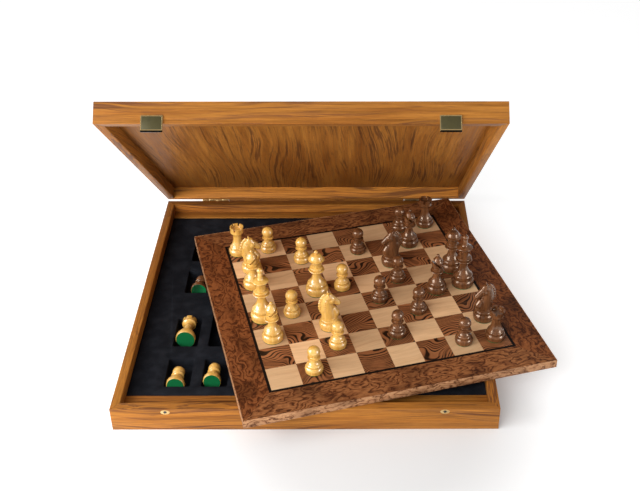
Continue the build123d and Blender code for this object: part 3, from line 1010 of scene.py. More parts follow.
class Man(Enum):
    """The six kinds of men."""

    PAWN = ManKind(
        39.0,
        23.4,
        bowl(0.84, 0.225)
        + ((0.72, 0.33, 0.18), (0.46, 0.49, -0.12), (0.46, 0.53, 0.0))
        + collar(0.67, 0.552, 0.03)
        + ((0.46, 0.59, -0.1),),
        ball=0.69,
        neck=0.44,
    )
    ROOK = ManKind(
        45.0,
        26.5,
        bowl(0.86, 0.20)
        + ((0.73, 0.30, 0.18), (0.46, 0.62, -0.08), (0.46, 0.66, 0.0))
        + (
            (0.50, 0.72, -0.1),
            (0.68, 0.795, -0.13),
            (0.71, 0.82, 0.2),
            (0.73, 0.985, 0.0),
            (0.715, 1.0, 0.3),
            (0.575, 1.0, 0.0),
            (0.56, 0.985, 0.3),
            (0.545, 0.90, 0.0),
            (0.51, 0.885, -0.3),
            (0.0, 0.88, 0.0),
        ),
    )
    KNIGHT = ManKind(
        57.0,
        28.0,
        bowl(0.86, 0.19) + ((0.74, 0.262, 0.2), (0.0, 0.275, 0.1)),
    )
    BISHOP = ManKind(
        60.0,
        28.0,
        bowl(0.86, 0.17)
        + ((0.71, 0.27, 0.18), (0.37, 0.49, -0.11), (0.36, 0.52, 0.0))
        + collar(0.63, 0.54, 0.025)
        + ((0.44, 0.575, -0.1), (0.44, 0.585, 0.0))
        + collar(0.55, 0.598, 0.02)
        + (
            (0.40, 0.632, 0.0),
            (0.40, 0.645, 0.0),
            (0.53, 0.75, 0.16),
            (0.40, 0.86, 0.14),
            (0.13, 0.935, 0.06),
        ),
        ball=0.155,
        neck=0.11,
    )
    QUEEN = ManKind(
        69.0,
        31.0,
        bowl(0.88, 0.16)
        + ((0.73, 0.255, 0.18), (0.37, 0.49, -0.11), (0.36, 0.515, 0.0))
        + collar(0.67, 0.533, 0.022)
        + ((0.45, 0.565, -0.1), (0.45, 0.575, 0.0))
        + collar(0.57, 0.588, 0.018)
        + (
            (0.43, 0.62, 0.0),
            (0.45, 0.66, -0.05),
            (0.66, 0.78, -0.10),
            (0.70, 0.785, 0.0),
            (0.70, 0.802, 0.4),
            (0.60, 0.808, 0.0),
            (0.54, 0.85, 0.14),
            (0.18, 0.92, 0.16),
        ),
        ball=0.19,
        neck=0.12,
    )
    KING = ManKind(
        81.0,
        31.5,
        bowl(0.88, 0.14)
        + ((0.73, 0.235, 0.18), (0.37, 0.45, -0.11), (0.36, 0.475, 0.0))
        + collar(0.67, 0.493, 0.02)
        + ((0.45, 0.522, -0.1), (0.45, 0.53, 0.0))
        + collar(0.61, 0.543, 0.018)
        + (
            (0.43, 0.575, 0.0),
            (0.44, 0.60, -0.05),
            (0.61, 0.740, -0.08),
            (0.64, 0.746, 0.0),
            (0.64, 0.765, 0.4),
            (0.50, 0.772, 0.0),
            (0.27, 0.79, 0.1),
            (0.20, 0.83, -0.05),
            (0.22, 0.88, 0.0),
        ),
        ball=0.26,
        neck=0.16,
    )


# ------------------------------------------------------------------ the men


def turned(kind: ManKind, name: str, steps: int = 56) -> Piece:
    """Turn a man's outline about its upright axis.

    Args:
        kind: the man.
        name: the object's name.
        steps: facets round the axis.

    Returns:
        The turned solid, standing on the origin.
    """
    points = kind.points()
    deselect_all()
    bpy.ops.mesh.primitive_plane_add(size=MM, location=(points[0][0], 0.0, points[0][1]))
    piece = bpy.context.object
    edit_all(piece)
    bpy.ops.mesh.merge(type="CENTER")
    for (r0, z0), (r1, z1) in zip(points, points[1:]):
        bpy.ops.mesh.extrude_region_move(
            TRANSFORM_OT_translate={"value": (r1 - r0, 0.0, z1 - z0)}
        )
    bpy.ops.mesh.select_all(action="SELECT")
    bpy.ops.mesh.spin(steps=steps, angle=2 * math.pi, center=(0, 0, 0), axis=(0, 0, 1))
    bpy.ops.mesh.select_all(action="SELECT")
    bpy.ops.mesh.remove_doubles(threshold=MERGE)
    bpy.ops.mesh.normals_make_consistent(inside=False)
    leave_edit()
    settle(piece, name)
    smooth(piece, 30.0)
    return piece


def sized(size: Triple, name: str) -> Piece:
    """Give the primitive that was just added its size and its name."""
    bpy.context.object.scale = size
    return settle(bpy.context.object, name)


def block(size: Triple, place: Triple, turn: Triple = UNTURNED) -> Piece:
    """Cut a box.

    Args:
        size: its sizes along its own axes.
        place: its middle.
        turn: how it is turned.

    Returns:
        The box.
    """
    deselect_all()
    bpy.ops.mesh.primitive_cube_add(size=1.0, location=place, rotation=turn)
    return sized(size, "block")


def egg(size: Triple, place: Triple, turn: Triple = UNTURNED) -> Piece:
    """Squeeze a ball to a size.

    Args:
        size: its sizes along its own axes.
        place: its middle.
        turn: how it is turned.

    Returns:
        The squeezed ball.
    """
    deselect_all()
    bpy.ops.mesh.primitive_uv_sphere_add(
        segments=20, ring_count=12, radius=0.5, location=place, rotation=turn
    )
    return sized(size, "egg")


@dataclass(frozen=True)
class Key:
    """A round form on a line of carving, in millimetres.

    Attributes:
        radius: its radius in profile.
        half: half its width.
    """

    x: float
    z: float
    radius: float
    half: float

    def towards(self, other: Key, mix: float) -> Key:
        """A form on the way to another."""
        pairs = zip(vars(self).values(), vars(other).values())
        return Key(*(a + (b - a) * mix for a, b in pairs))

    def egg(self) -> Piece:
        """The form as a squeezed ball."""
        tall = 2 * self.radius * MM
        return egg((tall, 2 * self.half * MM, tall), (self.x * MM, 0.0, self.z * MM))


@dataclass(frozen=True)
class Feature:
    """A small carved form on the left; lengths are in millimetres."""

    size: Triple
    middle: Triple
    turn: Triple = UNTURNED

    def place(self, side: int) -> Triple:
        """Its middle on the left, 1, or on the right, -1, in metres."""
        x, y, z = self.middle
        return mm((x, side * y, z))

    def egg(self, side: int) -> Piece:
        """The form as a squeezed ball."""
        return egg(mm(self.size), self.place(side), self.turn)


@dataclass
class Horse:
    """The carved horse of a knight, looking along +x; millimetres and degrees.

    Attributes:
        spine: the neck, from the foot to the poll.
        face: from the poll to the nose.
        chest: the swelling in front of the neck.
        ear: a cone, with its foot's radius, its tip's and its length as its size.
        crest: x and z of the middle that the mane curves about.
        lobe: size of one of the mane's lobes.
        lobes: how many lobes there are.
        lobe_reach: how far from the crest they lie, ahead and up.
        lobe_below: the share of that reach which they keep below the crest.
        lobe_start: where the first one lies, from straight ahead.
        lobe_step: from one lobe to the next.
        lobe_lean: how far the first one leans.
        lock: size of a cut beside the mane; the other values are as for the lobes.
        facet: size of the melted solid's facets.
    """

    spine: tuple[Key, ...] = (
        Key(-0.5, 16.0, 10.0, 7.6),
        Key(-1.0, 22.0, 10.0, 7.0),
        Key(-2.6, 30.0, 9.4, 6.3),
        Key(-3.6, 38.0, 8.2, 5.6),
        Key(-3.0, 45.0, 7.0, 4.9),
        Key(-0.5, 49.0, 5.6, 4.3),
    )
    face: tuple[Key, ...] = (
        Key(-0.5, 47.5, 6.0, 4.8),
        Key(3.0, 45.2, 5.3, 4.7),
        Key(6.8, 41.8, 4.8, 3.9),
        Key(10.2, 38.6, 4.2, 3.4),
        Key(11.6, 37.0, 3.7, 3.4),
    )
    chest: tuple[Key, ...] = (
        Key(5.0, 17.5, 6.6, 6.2),
        Key(7.2, 22.5, 6.4, 5.9),
        Key(4.6, 28.0, 5.4, 5.0),
    )
    cheek: Feature = Feature((7.0, 3.0, 7.0), (2.4, 4.0, 43.2))
    brow: Feature = Feature((3.0, 2.0, 1.6), (5.0, 4.2, 46.0))
    nostril: Feature = Feature((2.2, 1.6, 1.3), (12.6, 3.0, 37.0))
    eye: Feature = Feature((2.6, 1.6, 1.9), (4.4, 4.3, 44.9))
    mouth: Feature = Feature((8.5, 9.0, 1.3), (12.4, 0.0, 34.9), (0.0, 0.45, 0.0))
    ear: Feature = Feature((2.0, 0.3, 7.0), (-1.4, 2.5, 53.2), (-0.18, -0.1, 0.0))
    crest: Point = (-1.5, 36.0)
    lobe: Triple = (5.4, 3.6, 4.6)
    lobes: int = 9
    lobe_reach: Point = (11.3, 18.0)
    lobe_below: float = 0.85
    lobe_start: float = 112.0
    lobe_step: float = 13.5
    lobe_lean: float = 20.0
    lock: Triple = (9.0, 5.2, 0.9)
    locks: int = 7
    lock_reach: Triple = (9.2, 6.2, 15.5)
    lock_start: float = 118.0
    lock_step: float = 15.0
    lock_lean: Point = (0.5, math.pi * 0.92)
    facet: float = 0.55
    links: int = 4

    def chain(self, keys: Sequence[Key]) -> list[Piece]:
        """Set forms along a line, close enough to melt into each other.

        Args:
            keys: the forms that the line goes through.

        Returns:
            All the forms along it.
        """
        line = [
            start.towards(end, link / self.links)
            for start, end in zip(keys, keys[1:])
            for link in range(self.links)
        ]
        return [key.egg() for key in (*line, keys[-1])]

    def mane(self) -> list[Piece]:
        """Set the upright mane down the back of the neck.

        Returns:
            Its lobes.
        """
        found = []
        for index in range(self.lobes):
            angle = math.radians(self.lobe_start + index * self.lobe_step)
            rise = math.sin(angle)
            x = self.crest[0] + self.lobe_reach[0] * math.cos(angle)
            z = self.crest[1] + self.lobe_reach[1] * rise * (1.0 if rise > 0 else self.lobe_below)
            turn = (0.0, math.radians(self.lobe_lean - index * self.lobe_step), 0.0)
            found.append(egg(mm(self.lobe), (x * MM, 0.0, z * MM), turn))
        return found

    def ears(self) -> list[Piece]:
        """Set two ears, pricked up and forwards.

        Returns:
            The ears.
        """
        ears = []
        foot, tip, length = mm(self.ear.size)
        lean, nod, twist = self.ear.turn
        for side in (-1, 1):
            deselect_all()
            bpy.ops.mesh.primitive_cone_add(
                vertices=16,
                radius1=foot,
                radius2=tip,
                depth=length,
                location=self.ear.place(side),
                rotation=(side * lean, nod, twist),
            )
            ears.append(settle(bpy.context.object, "ear"))
        return ears

    def melted(self) -> Piece:
        """Melt all the forms into one solid.

        Returns:
            The solid, without its cuts.
        """
        forms = self.chain(self.spine) + self.chain(self.face) + self.chain(self.chest)
        forms += self.mane() + self.ears()
        for side in (-1, 1):
            forms += [self.cheek.egg(side), self.brow.egg(side)]
        horse = join(forms, "horse")
        apply_modifier(horse, "REMESH", mode="VOXEL", voxel_size=self.facet * MM)
        apply_modifier(horse, "SMOOTH", factor=0.5, iterations=4)
        return horse

    def cut_locks(self, horse: Piece, side: int) -> None:
        """Cut the lines that part the mane's locks on one side.

        Args:
            horse: the melted solid.
            side: 1 for the left and -1 for the right.
        """
        for index in range(self.locks):
            angle = math.radians(self.lock_start + index * self.lock_step)
            place = Vector((
                self.crest[0] + self.lock_reach[0] * math.cos(angle),
                side * self.lock_reach[1],
                self.crest[1] + self.lock_reach[2] * math.sin(angle),
            ))
            turn = (side * self.lock_lean[0], self.lock_lean[1] - angle, 0.0)
            cut_away(horse, block(mm(self.lock), tuple(place * MM), turn))

    def build(self) -> Piece:
        """Carve the horse.

        Returns:
            The horse without the foot.
        """
        horse = self.melted()
        for side in (-1, 1):
            self.cut_locks(horse, side)
            cut_away(horse, self.nostril.egg(side))
        cut_away(horse, block(mm(self.mouth.size), self.mouth.place(1), self.mouth.turn))
        return join([horse, *(self.eye.egg(side) for side in (-1, 1))], "horse")


@dataclass
class Carver:
    """Makes one model of each man, without its felt.

    Attributes:
        notch: width of the cuts across the rook's wall.
        notch_share: their depth as a share of its wood.
        slot: width of the cut in the bishop's mitre.
        slot_lean: how far it leans from upright.
    """

    notch: float = 2.6 * MM
    notch_share: float = 0.085
    slot: float = 2.9 * MM
    slot_lean: float = math.radians(46)

    def man(self, man: Man) -> Piece:
        """Carve one man.

        Args:
            man: which man.

        Returns:
            Its model, standing on the origin and looking along +x.
        """
        model = turned(man.value, man.name.lower())
        if man is Man.ROOK:
            self.notch_battlements(model, man.value)
        elif man is Man.BISHOP:
            self.cut_mitre(model, man.value)
        elif man is Man.KNIGHT:
            model = join([model, Horse().build()], "knight")
        smooth(model, 38.0)
        return model

    def notch_battlements(self, model: Piece, kind: ManKind) -> None:
        """Cut three notches right across a rook's wall.

        Args:
            model: the turned rook.
            kind: its sizes.
        """
        depth = self.notch_share * kind.wood
        size = (2.4 * kind.radius, self.notch, depth)
        place = (0.0, 0.0, kind.height_at(1.0) - depth / 2 + 0.1 * MM)
        for index in range(3):
            cut_away(model, block(size, place, (0.0, 0.0, math.radians(60 * index))))

    def cut_mitre(self, model: Piece, kind: ManKind) -> None:
        """Cut the slanted slot of a bishop's mitre.

        Args:
            model: the turned bishop.
            kind: its sizes.
        """
        place = (0.17 * kind.radius, 0.0, kind.height_at(0.765))
        size = (self.slot, 2 * kind.radius, 1.2 * kind.radius)
        cut_away(model, block(size, place, (0.0, self.slot_lean, 0.0)))


@dataclass
class Army:
    """The men of one colour, on the board and put away.

    Attributes:
        turn: how far its men on the board are turned.
        on_board: the files and ranks of its men there.
        put_away: the places of its men in the foam.
    """

    colourway: Colourway
    turn: float
    wood: TurnedWood
    on_board: dict[Man, tuple[Point, ...]]
    put_away: dict[Man, tuple[Lying, ...]]

    def build(self, carver: Carver) -> None:
        """Make and dress all the men of this colour.

        Args:
            carver: who makes the models.
        """
        finish = self.wood.build()
        boarded = {
            man: [Stand(*square).matrix(self.turn) for square in squares]
            for man, squares in self.on_board.items()
        }
        stored = {
            man: [place.matrix() for place in places] for man, places in self.put_away.items()
        }
        for prefix, body, groups in (("", "playing_board", boarded), ("stored_", "base", stored)):
            for man, places in groups.items():
                plural = "s" if len(places) > 1 else ""
                node = f"{prefix}{self.colourway.value}_{man.name.lower()}{plural}"
                men = copy_to(carver.man(man), places, f"{node}_carved")
                dress(men, finish, body, self.wood.name, node)


# ------------------------------------------------------------------ the wooden parts


@dataclass
class WoodShop:
    """The veneer of the box, in the tones given to its parts; these carry painted light and shade
    as well as the wood's own tone.
    """

    light: Colour = (0.52, 0.212, 0.037)
    middle: Colour = (0.34, 0.120, 0.020)
    dark: Colour = (0.090, 0.030, 0.011)

    def veneer(self, name: str, seat: Seat, grain: Grain, tone: float, **changes) -> Material:
        """One veneer finish.

        Args:
            name: the finish's name.
            seat: the seat of the body that it is laid on.
            grain: how its fibres run there.
            tone: lighter wood above 1 and darker below; partly the wood's own tone and partly
                painted light and shade.
            **changes: what else differs from a plain veneer.

        Returns:
            The material.
        """
        light, middle = (
            tuple(tone * value for value in colour) for colour in (self.light, self.middle)
        )
        settings = dict(light=light, middle=middle, dark=self.dark) | changes
        return Veneer(name, seat, grain, **settings).build()


@dataclass
class Carcase:
    """The rails and the panel of the base or of the lid.

    Attributes:
        tones_and_shade: how light the wood of each side and of the panel is: partly its own tone,
            partly painted light and shade for how brightly each side is lit.
        rear_rim: height above which the rear rail is darkened with painted shade, as it lies in
            the lid's shade.
    """

    body: str
    seat: Seat
    wood: WoodShop
    panel_node: str
    panel_slot: str
    tones_and_shade: dict[str, float]
    rear_rim: float = ABOVE_ALL
    edge_radius: float = 0.55 * MM

    def build(self) -> None:
        """Soften and dress the four rails and the panel."""
        for index, side in enumerate(SIDES):
            is_long = side in ("front", "rear")
            node = f"{self.body}_{side}_rail"
            rail = clean_copy(node, f"{node}_veneered")
            soften(rail, self.edge_radius)
            finish = self.wood.veneer(
                f"{self.body}_{side}_veneer",
                self.seat,
                Grain.EDGE_X if is_long else Grain.EDGE_Y,
                self.tones_and_shade[side],
                shift=(0.31 * index, 0.05 * index, 0.0),
                dark=(0.120, 0.043, 0.020),
                arch_mm=80.0,
                # Painted shade on the top of the base's rear rail.
                rim=self.rear_rim if side == "rear" else ABOVE_ALL,
                rim_tone=0.47,
            )
            dress(rail, finish, self.body, "walnut_veneer", node)
        panel = clean_copy(self.panel_node, f"{self.panel_node}_veneered")
        soften(panel, 0.2 * MM, 1)
        finish = self.wood.veneer(
            f"{self.body}_panel_veneer",
            self.seat,
            Grain.FLAT_Y,
            self.tones_and_shade["panel"],
            ring_mm=8.0,
            arch_mm=85.0,
            arch=2.0,
            lines=0.85,
        )
        dress(panel, finish, self.body, self.panel_slot, self.panel_node)


@dataclass
class Tray:
    """The two ledge strips and the foam that fill the base, and the bead behind it."""

    wood: WoodShop

    def build(self) -> None:
        """Dress the strips, the bead and the foam."""
        # Painted shade: the rear strip and the bead are darker, as the back of the base lies in
        # the lid's shade.
        tones_and_shade = dict(front_ledge_strip=1.0, rear_ledge_strip=0.68, rear_bead=0.6)
        for node, tone in tones_and_shade.items():
            strip = clean_copy(node, f"{node}_veneered")
            soften(strip, 0.4 * MM)
            finish = self.wood.veneer(
                f"{node}_veneer", BASE_SEAT, Grain.FLAT_X, tone, shift=(0.2, 0.21, 0.0)
            )
            dress(strip, finish, "base", "walnut_veneer", node)
        foam = clean_copy("foam_insert", "foam_insert_cut")
        soften(foam, 0.5 * MM, corner=50.0)
        dress(foam, Foam().build(), "base", "foam", "foam_insert")


# ------------------------------------------------------------------ the metal parts


@dataclass
class Ironmongery:
    """Hinges, screws, catches and strikes.

    Attributes:
        head_slot: width of the slots in the screws' heads.
        screw_places_mm: where the screws of both hinges stand along x.
        base_heads: middle of the heads' row on the base.
        lid_heads: the same on the lid, in the lid's own frame.
        lip: how far the catch plates' lower end is drawn down.
        lip_from: height in the lid's frame below which it is drawn.
        black_from: height there below which the plates are black.
    """

    gold: Colour = (0.78, 0.56, 0.26)
    gold_shade: Colour = (0.42, 0.27, 0.10)
    head_slot: float = 0.5 * MM
    screw_places_mm: tuple[float, ...] = (-172.0, -148.0, 148.0, 172.0)
    base_heads: Triple = (0.0, 0.2362, 0.0268)
    lid_heads: Triple = (0.0, -0.002, 0.0072)
    lip: float = 2.0 * MM
    lip_from: float = -7.0 * MM
    black_from: float = -7.8 * MM

    def build(self) -> None:
        """Dress every metal part."""
        gold = (self.gold, self.gold_shade)
        grey = ((0.10, 0.095, 0.09), (0.04, 0.035, 0.03))
        dark = ((0.066, 0.056, 0.019), (0.040, 0.034, 0.012))
        # Darker brass colours for the right hinge: painted shade, as that hinge lies in shade.
        shade_brown = ((0.30, 0.22, 0.11), (0.16, 0.11, 0.05))
        base_brass = Metal("base_brass", BASE_SEAT, *gold, 0.24).build()
        lid_brass = Metal("lid_brass", LID_SEAT, *gold, 0.24).build()
        plate = Metal("catch_brass", LID_SEAT, *gold, 0.16, black_below=self.black_from).build()
        shade_painted_brass = Metal("aged_brass", BASE_SEAT, *shade_brown, 0.4).build()
        steel = Metal("dark_steel", BASE_SEAT, *grey, 0.35).build()
        face = Metal("dark_face", LID_SEAT, *dark, 0.35, metallic=0.3).build()
        # The right hinge takes the darker brass, as painted shade.
        for side, base, lid in (("left", base_brass, lid_brass), ("right", shade_painted_brass, shade_painted_brass)):
            self.softened(f"{side}_hinge_base_leaf", base, "base", "brass", 0.2)
            self.softened(f"{side}_hinge_lid_leaf", lid, "lid", "brass", 0.2)
            self.softened(f"{side}_hinge_pin", base, "hinge_pins", "brass", 0.25)
        self.screws("base", base_brass, Matrix.Translation(self.base_heads))
        self.screws("lid", lid_brass, LID_SEAT.matrix() @ Matrix.Translation(self.lid_heads))
        self.softened("catch_plates", plate, "lid", "brass", 0.35, self.lip)
        self.softened("catch_faces", face, "lid", "dark_face", 0.1)
        self.softened("catch_keepers", steel, "lid", "magnet_steel", 0.15)
        self.softened("catch_nails", lid_brass, "lid", "brass", 0.2)
        self.softened("strike_rings", base_brass, "base", "brass", 0.35)
        self.softened("strike_magnets", steel, "base", "magnet_steel", 0.3)

    def softened(
        self, node: str, finish: Material, body: str, slot: str, radius_mm: float, lip: float = 0.0
    ) -> None:
        """Copy, round and dress one metal part.

        Args:
            node: the part's node.
            finish: its material.
            body: the body it rides on.
            slot: the name of its material slot.
            radius_mm: how far its edges are rounded.
            lip: how far its lower end, as the lid lies, is drawn down.
        """
        piece = clean_copy(node, f"{node}_polished")
        if lip:
            lid = LID_SEAT.matrix()
            for vertex in piece.data.vertices:
                place = lid.inverted() @ vertex.co
                if place.z < self.lip_from:
                    vertex.co = lid @ (place - Vector((0.0, 0.0, lip)))
        soften(piece, radius_mm * MM)
        dress(piece, finish, body, slot, node)

    def screws(self, body: str, finish: Material, heads: Matrix) -> None:
        """Copy a body's hinge screws and cut a slot across each head.

        Args:
            body: the body they ride on.
            finish: their material.
            heads: the middle of the heads' row, unturned on the body.
        """
        node = f"{body}_hinge_screws"
        piece = clean_copy(node, f"{node}_slotted")
        out_of_heads = heads @ Matrix.Rotation(-math.pi / 2, 4, "X")
        for x in self.screw_places_mm:
            any_turn = (0.0, 0.0, x)
            cutter = block((self.head_slot, 5.0 * MM, 1.0 * MM), (x * MM, 0.0, 0.0), any_turn)
            cutter.data.transform(out_of_heads)
            cut_away(piece, cutter)
        smooth(piece)
        dress(piece, finish, body, "brass", node)


# ------------------------------------------------------------------ the chessboard


@dataclass
class Chessboard:
    """The veneered board without its men."""

    core: Burl = Burl("burl_back", BOARD_SEAT, shift=(0.7, 0.3, 0.0))
    long_border: Burl = Burl("burl", BOARD_SEAT, flow=(0.65, 1.3, 1.0))
    short_border: Burl = Burl(
        "burl",
        BOARD_SEAT,
        dark=(0.038, 0.011, 0.004),
        middle=(0.130, 0.036, 0.011),
        light=(0.27, 0.088, 0.027),
        flow=(1.25, 0.8, 1.0),
    )
    banding: Burl = Burl(
        "banding",
        BOARD_SEAT,
        dark=(0.09, 0.032, 0.013),
        middle=(0.34, 0.155, 0.070),
        light=(0.52, 0.275, 0.135),
        lines=9.0,
        flow=(1.0, 1.0, 1.8),
    )
    light_squares: Squares = Squares(
        "light_square",
        BOARD_SEAT,
        SQUARE,
        light=(0.76, 0.485, 0.262),
        middle=(0.70, 0.430, 0.225),
        dark=(0.61, 0.355, 0.178),
        figure=0.2,
    )
    dark_squares: Squares = Squares(
        "dark_square",
        BOARD_SEAT,
        SQUARE,
        light=(0.38, 0.145, 0.054),
        middle=(0.270, 0.094, 0.035),
        dark=(0.014, 0.006, 0.003),
        figure=1.6,
        lines=1.0,
        spread=1.2,
    )

    def build(self) -> None:
        """Soften and dress each piece of the board."""
        self.lay("board_core", "faced", self.core.build(), "floor_board")
        for index, side in enumerate(SIDES):
            shift = (0.37 * index, 0.11 * index, 0.0)
            border = self.long_border if side in ("front", "rear") else self.short_border
            finish = replace(border, name=f"burl_{side}", shift=shift).build()
            self.lay(f"board_{side}_border", "veneered", finish, "burl")
            finish = replace(self.banding, name=f"banding_{side}", shift=shift).build()
            self.lay(f"board_{side}_banding", "rounded", finish, "burl_edge", 0.45 * MM)
        black = Recipe("black_stringing").finish(
            Base_Color=(0.006, 0.004, 0.003), Roughness=0.6, Specular_IOR_Level=0.1
        )
        self.lay("board_stringing", "dyed", black, "black_stringing")
        self.lay("light_squares", "inlaid", self.light_squares.build(), "light_square")
        self.lay("dark_squares", "inlaid", self.dark_squares.build(), "dark_square")

    def lay(self, node: str, how: str, finish: Material, slot: str, radius: float = 0.0) -> None:
        """Copy and dress one piece of the board.

        Args:
            node: the piece's node.
            how: what is done to it, for the end of its name.
            finish: its material.
            slot: the name of its material slot.
            radius: how far its edges are rounded.
        """
        piece = clean_copy(node, f"{node}_{how}")
        if radius:
            soften(piece, radius)
        dress(piece, finish, "playing_board", slot, node)


@dataclass
class Felts:
    """The baize discs under the men: each node with the body that it rides on."""

    bodies: tuple[tuple[str, str], ...] = (
        ("light_felts", "playing_board"),
        ("dark_felts", "playing_board"),
        ("stored_felts", "base"),
    )

    def build(self) -> None:
        """Dress the discs."""
        finish = Felt().build()
        for node, body in self.bodies:
            piece = clean_copy(node, f"{node}_napped")
            smooth(piece)
            dress(piece, finish, body, "green_felt", node)


# ------------------------------------------------------------------ the studio


@dataclass(frozen=True)
class Softbox:
    """A square light aimed at the box.

    Attributes:
        power: its power in watts.
        lights: whether it lights surfaces.
        glints: whether it shows in glossy ones.
    """

    name: str
    place: Triple
    size: float
    power: float
    lights: bool = True
    glints: bool = True

    def build(self) -> None:
        """Hang the light."""
        light = bpy.data.lights.new(self.name, "AREA")
        light.energy = self.power
        light.size = self.size
        lamp = bpy.data.objects.new(self.name, light)
        lamp.location = self.place
        aim = Vector((0.0, 0.0, 0.05)) - Vector(self.place)
        lamp.rotation_euler = aim.to_track_quat("-Z", "Y").to_euler()
        lamp.visible_diffuse = self.lights
        lamp.visible_glossy = self.glints
        bpy.context.scene.collection.objects.link(lamp)


@dataclass
class Studio:
    """The floor, the lights and the camera.

    Attributes:
        shaded: the middle of the part of the floor that the box shades.
        shade_reach: distances from there where the floor's glow begins and is full.
        glow: the floor's glow at those distances, painted light from a floor that is no lamp.
        sky: strength of the pale world.
        shift: the camera's shift, as shares of the picture's width.
    """

    boxes: tuple[Softbox, ...] = (
        Softbox("left_box", (-1.20, -0.68, 0.72), 0.8, 17.0),
        Softbox("right_box", (1.60, -0.85, 0.50), 0.9, 2.5),
        Softbox("front_box", (-1.0, -1.95, 1.36), 1.5, 44.0, glints=False),
        Softbox("left_glint", (-1.55, -0.30, 0.42), 0.5, 9.0, lights=False),
        Softbox("right_glint", (1.30, -0.72, 0.42), 0.5, 8.0, lights=False),
    )
    floor_size: float = 12.0
    floor_middle: Triple = (0.0, 1.5, -0.0005)
    shaded: Triple = (0.08, -0.24, 0.0)
    shade_reach: Point = (0.10, 0.31)
    glow: Point = (0.03, 0.56)
    sky: float = 0.42
    camera_place: Triple = (0.05821, -1.12304, 0.88549)
    yaw: float = math.radians(0.388)
    pitch: float = math.radians(33.8285)
    roll: float = math.radians(0.1282)
    lens: float = 56.761
    sensor: float = 36.0
    shift: Point = (-0.06078, -0.02215)

    def build(self) -> None:
        """Set everything up."""
        self.floor()
        for box in self.boxes:
            box.build()
        self.world()
        self.camera()

    def floor(self) -> None:
        """Lay a wide pale floor that glows as painted light, less beside the box so that the box's
        shade shows there.
        """
        deselect_all()
        bpy.ops.mesh.primitive_plane_add(size=self.floor_size, location=self.floor_middle)
        plane = settle(bpy.context.object, "floor")
        r = Recipe("pale_floor")
        distance = r.add(
            "ShaderNodeVectorMath", {0: r.where(), 1: self.shaded}, operation="DISTANCE"
        ).outputs["Value"]
        # Painted light: the floor's emission grows with the distance from the shaded place.
        pale = r.finish(
            Base_Color=(0.74, 0.74, 0.74),
            Roughness=0.9,
            Emission_Color=(1.0, 1.0, 1.0),
            Emission_Strength=r.fade(distance, *self.shade_reach, self.glow),
        )
        plane.data.materials.append(pale)
        plane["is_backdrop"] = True

    def world(self) -> None:
        """Give the scene a plain white world."""
        world = bpy.data.worlds.new("studio")
        world.use_nodes = True
        background = world.node_tree.nodes["Background"]
        background.inputs["Color"].default_value = (1.0, 1.0, 1.0, 1.0)
        background.inputs["Strength"].default_value = self.sky
        bpy.context.scene.world = world
        bpy.context.scene.view_settings.view_transform = "Standard"

    def camera(self) -> None:
        """Stand the camera in its place, aimed by yaw, pitch and roll."""
        yaw, pitch, roll = self.yaw, self.pitch, self.roll
        ahead = Vector(
            (math.sin(yaw) * math.cos(pitch), math.cos(yaw) * math.cos(pitch), -math.sin(pitch))
        )
        level = Vector((math.cos(yaw), -math.sin(yaw), 0.0))
        upright = level.cross(ahead)
        right = math.cos(roll) * level + math.sin(roll) * upright
        up = -math.sin(roll) * level + math.cos(roll) * upright
        data = bpy.data.cameras.new("camera")
        data.lens = self.lens
        data.sensor_width = self.sensor
        data.shift_x, data.shift_y = self.shift
        data.clip_start = 10 * MM
        camera = bpy.data.objects.new("camera", data)
        columns = Matrix((right, up, -ahead)).transposed()
        camera.matrix_world = Matrix.Translation(self.camera_place) @ columns.to_4x4()
        bpy.context.scene.collection.objects.link(camera)
        bpy.context.scene.camera = camera


# ------------------------------------------------------------------ build


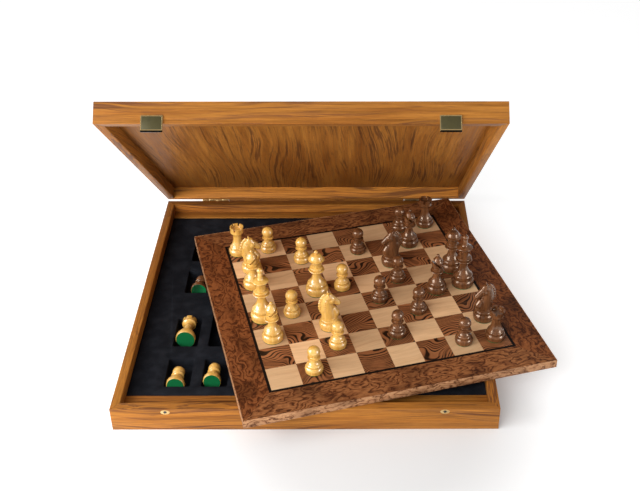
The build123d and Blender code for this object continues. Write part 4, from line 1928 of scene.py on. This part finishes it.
def light_army() -> Army:
    """Name the light men's places.

    Returns:
        The light side, on the board and in the foam.
    """
    wood = TurnedWood("boxwood", (0.80, 0.480, 0.120), (0.62, 0.315, 0.055), 1.0, coat=0.8)
    pawns = ((0.93, 6.96), (1.96, 5.97), (0.94, 3.01), (2.96, 4.0), (0.98, 0.02), (2.01, 1.01))
    on_board = {
        Man.PAWN: pawns,
        Man.ROOK: ((-0.17, 7.08),),
        Man.KNIGHT: ((0.1, 5.9), (2.0, 2.03)),
        Man.BISHOP: ((-0.02, 4.94), (0.05, 1.92)),
        Man.QUEEN: ((2.05, 4.0),),
        Man.KING: ((-0.06, 3.08),),
    }
    put_away = {
        Man.ROOK: (Lying((-165.0, -89.032, 19.129), 0.0933),),
        Man.PAWN: (
            Lying((-166.0, -177.031, 17.697), 0.1400),
            Lying((-120.643, -170.531, 17.697), 0.1400),
        ),
    }
    return Army(Colourway.LIGHT, 0.0, wood, on_board, put_away)


def dark_army() -> Army:
    """Name the dark men's places; they face the other way.

    Returns:
        The dark side, on the board and in the foam.
    """
    wood = TurnedWood(
        "rosewood",
        (0.195, 0.072, 0.024),
        (0.050, 0.018, 0.008),
        contrast=0.8,
        roughness=0.17,
        coat=0.2,
        glint=(1.0, 0.76, 0.56),
    )
    pawns = ((4.09, 5.99), (4.02, 2.99), (4.97, 3.94), (5.1, 2.02))
    pawns += ((6.0, 7.0), (4.04, 1.03), (6.02, 0.08))
    on_board = {
        Man.PAWN: pawns,
        Man.ROOK: ((7.04, 7.02), (7.09, 0.02)),
        Man.KNIGHT: ((7.1, 1.08), (5.05, 4.94)),
        Man.BISHOP: ((6.09, 2.97), (6.05, 5.94)),
        Man.QUEEN: ((7.04, 4.05),),
        Man.KING: ((7.1, 3.08),),
    }
    put_away = {Man.PAWN: (Lying((-161.0, 19.997, 17.697), 0.1400),)}
    return Army(Colourway.DARK, math.pi, wood, on_board, put_away)


def plain(box: tuple) -> list[list[float]]:
    """A box's corners as plain lists."""
    return [[round(value, 6) for value in corner] for corner in box]


def main() -> None:
    """Build the looks of every piece, class by class."""
    logging.basicConfig(level=logging.INFO, format="%(message)s")
    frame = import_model()
    cad_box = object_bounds()
    LOG.info("frame: %d parts", len(frame["nodes"]))
    wood = WoodShop()
    # The tones are partly painted light and shade: sides that are lit more are lighter, sides lit
    # less are darker.
    tones_and_shade = dict(front=1.02, rear=1.14, left=0.95, right=0.9, panel=1.0)
    Carcase(
        "base", BASE_SEAT, wood, "base_floor_panel", "floor_board", tones_and_shade, BASE_HEIGHT
    ).build()
    # Painted light and shade: the lid's rear rail is lighter and its front and panel darker, as
    # they are lit.
    tones_and_shade = dict(front=0.80, rear=1.25, left=0.9, right=0.9, panel=0.80)
    Carcase("lid", LID_SEAT, wood, "lid_top_panel", "walnut_veneer", tones_and_shade).build()
    Tray(wood).build()
    Ironmongery().build()
    Chessboard().build()
    carver = Carver()
    for army in (light_army(), dark_army()):
        army.build(carver)
    Felts().build()
    Studio().build()
    sizes = {"cad": plain(cad_box), "visual": plain(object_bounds())}


if __name__ == "__main__":
    main()
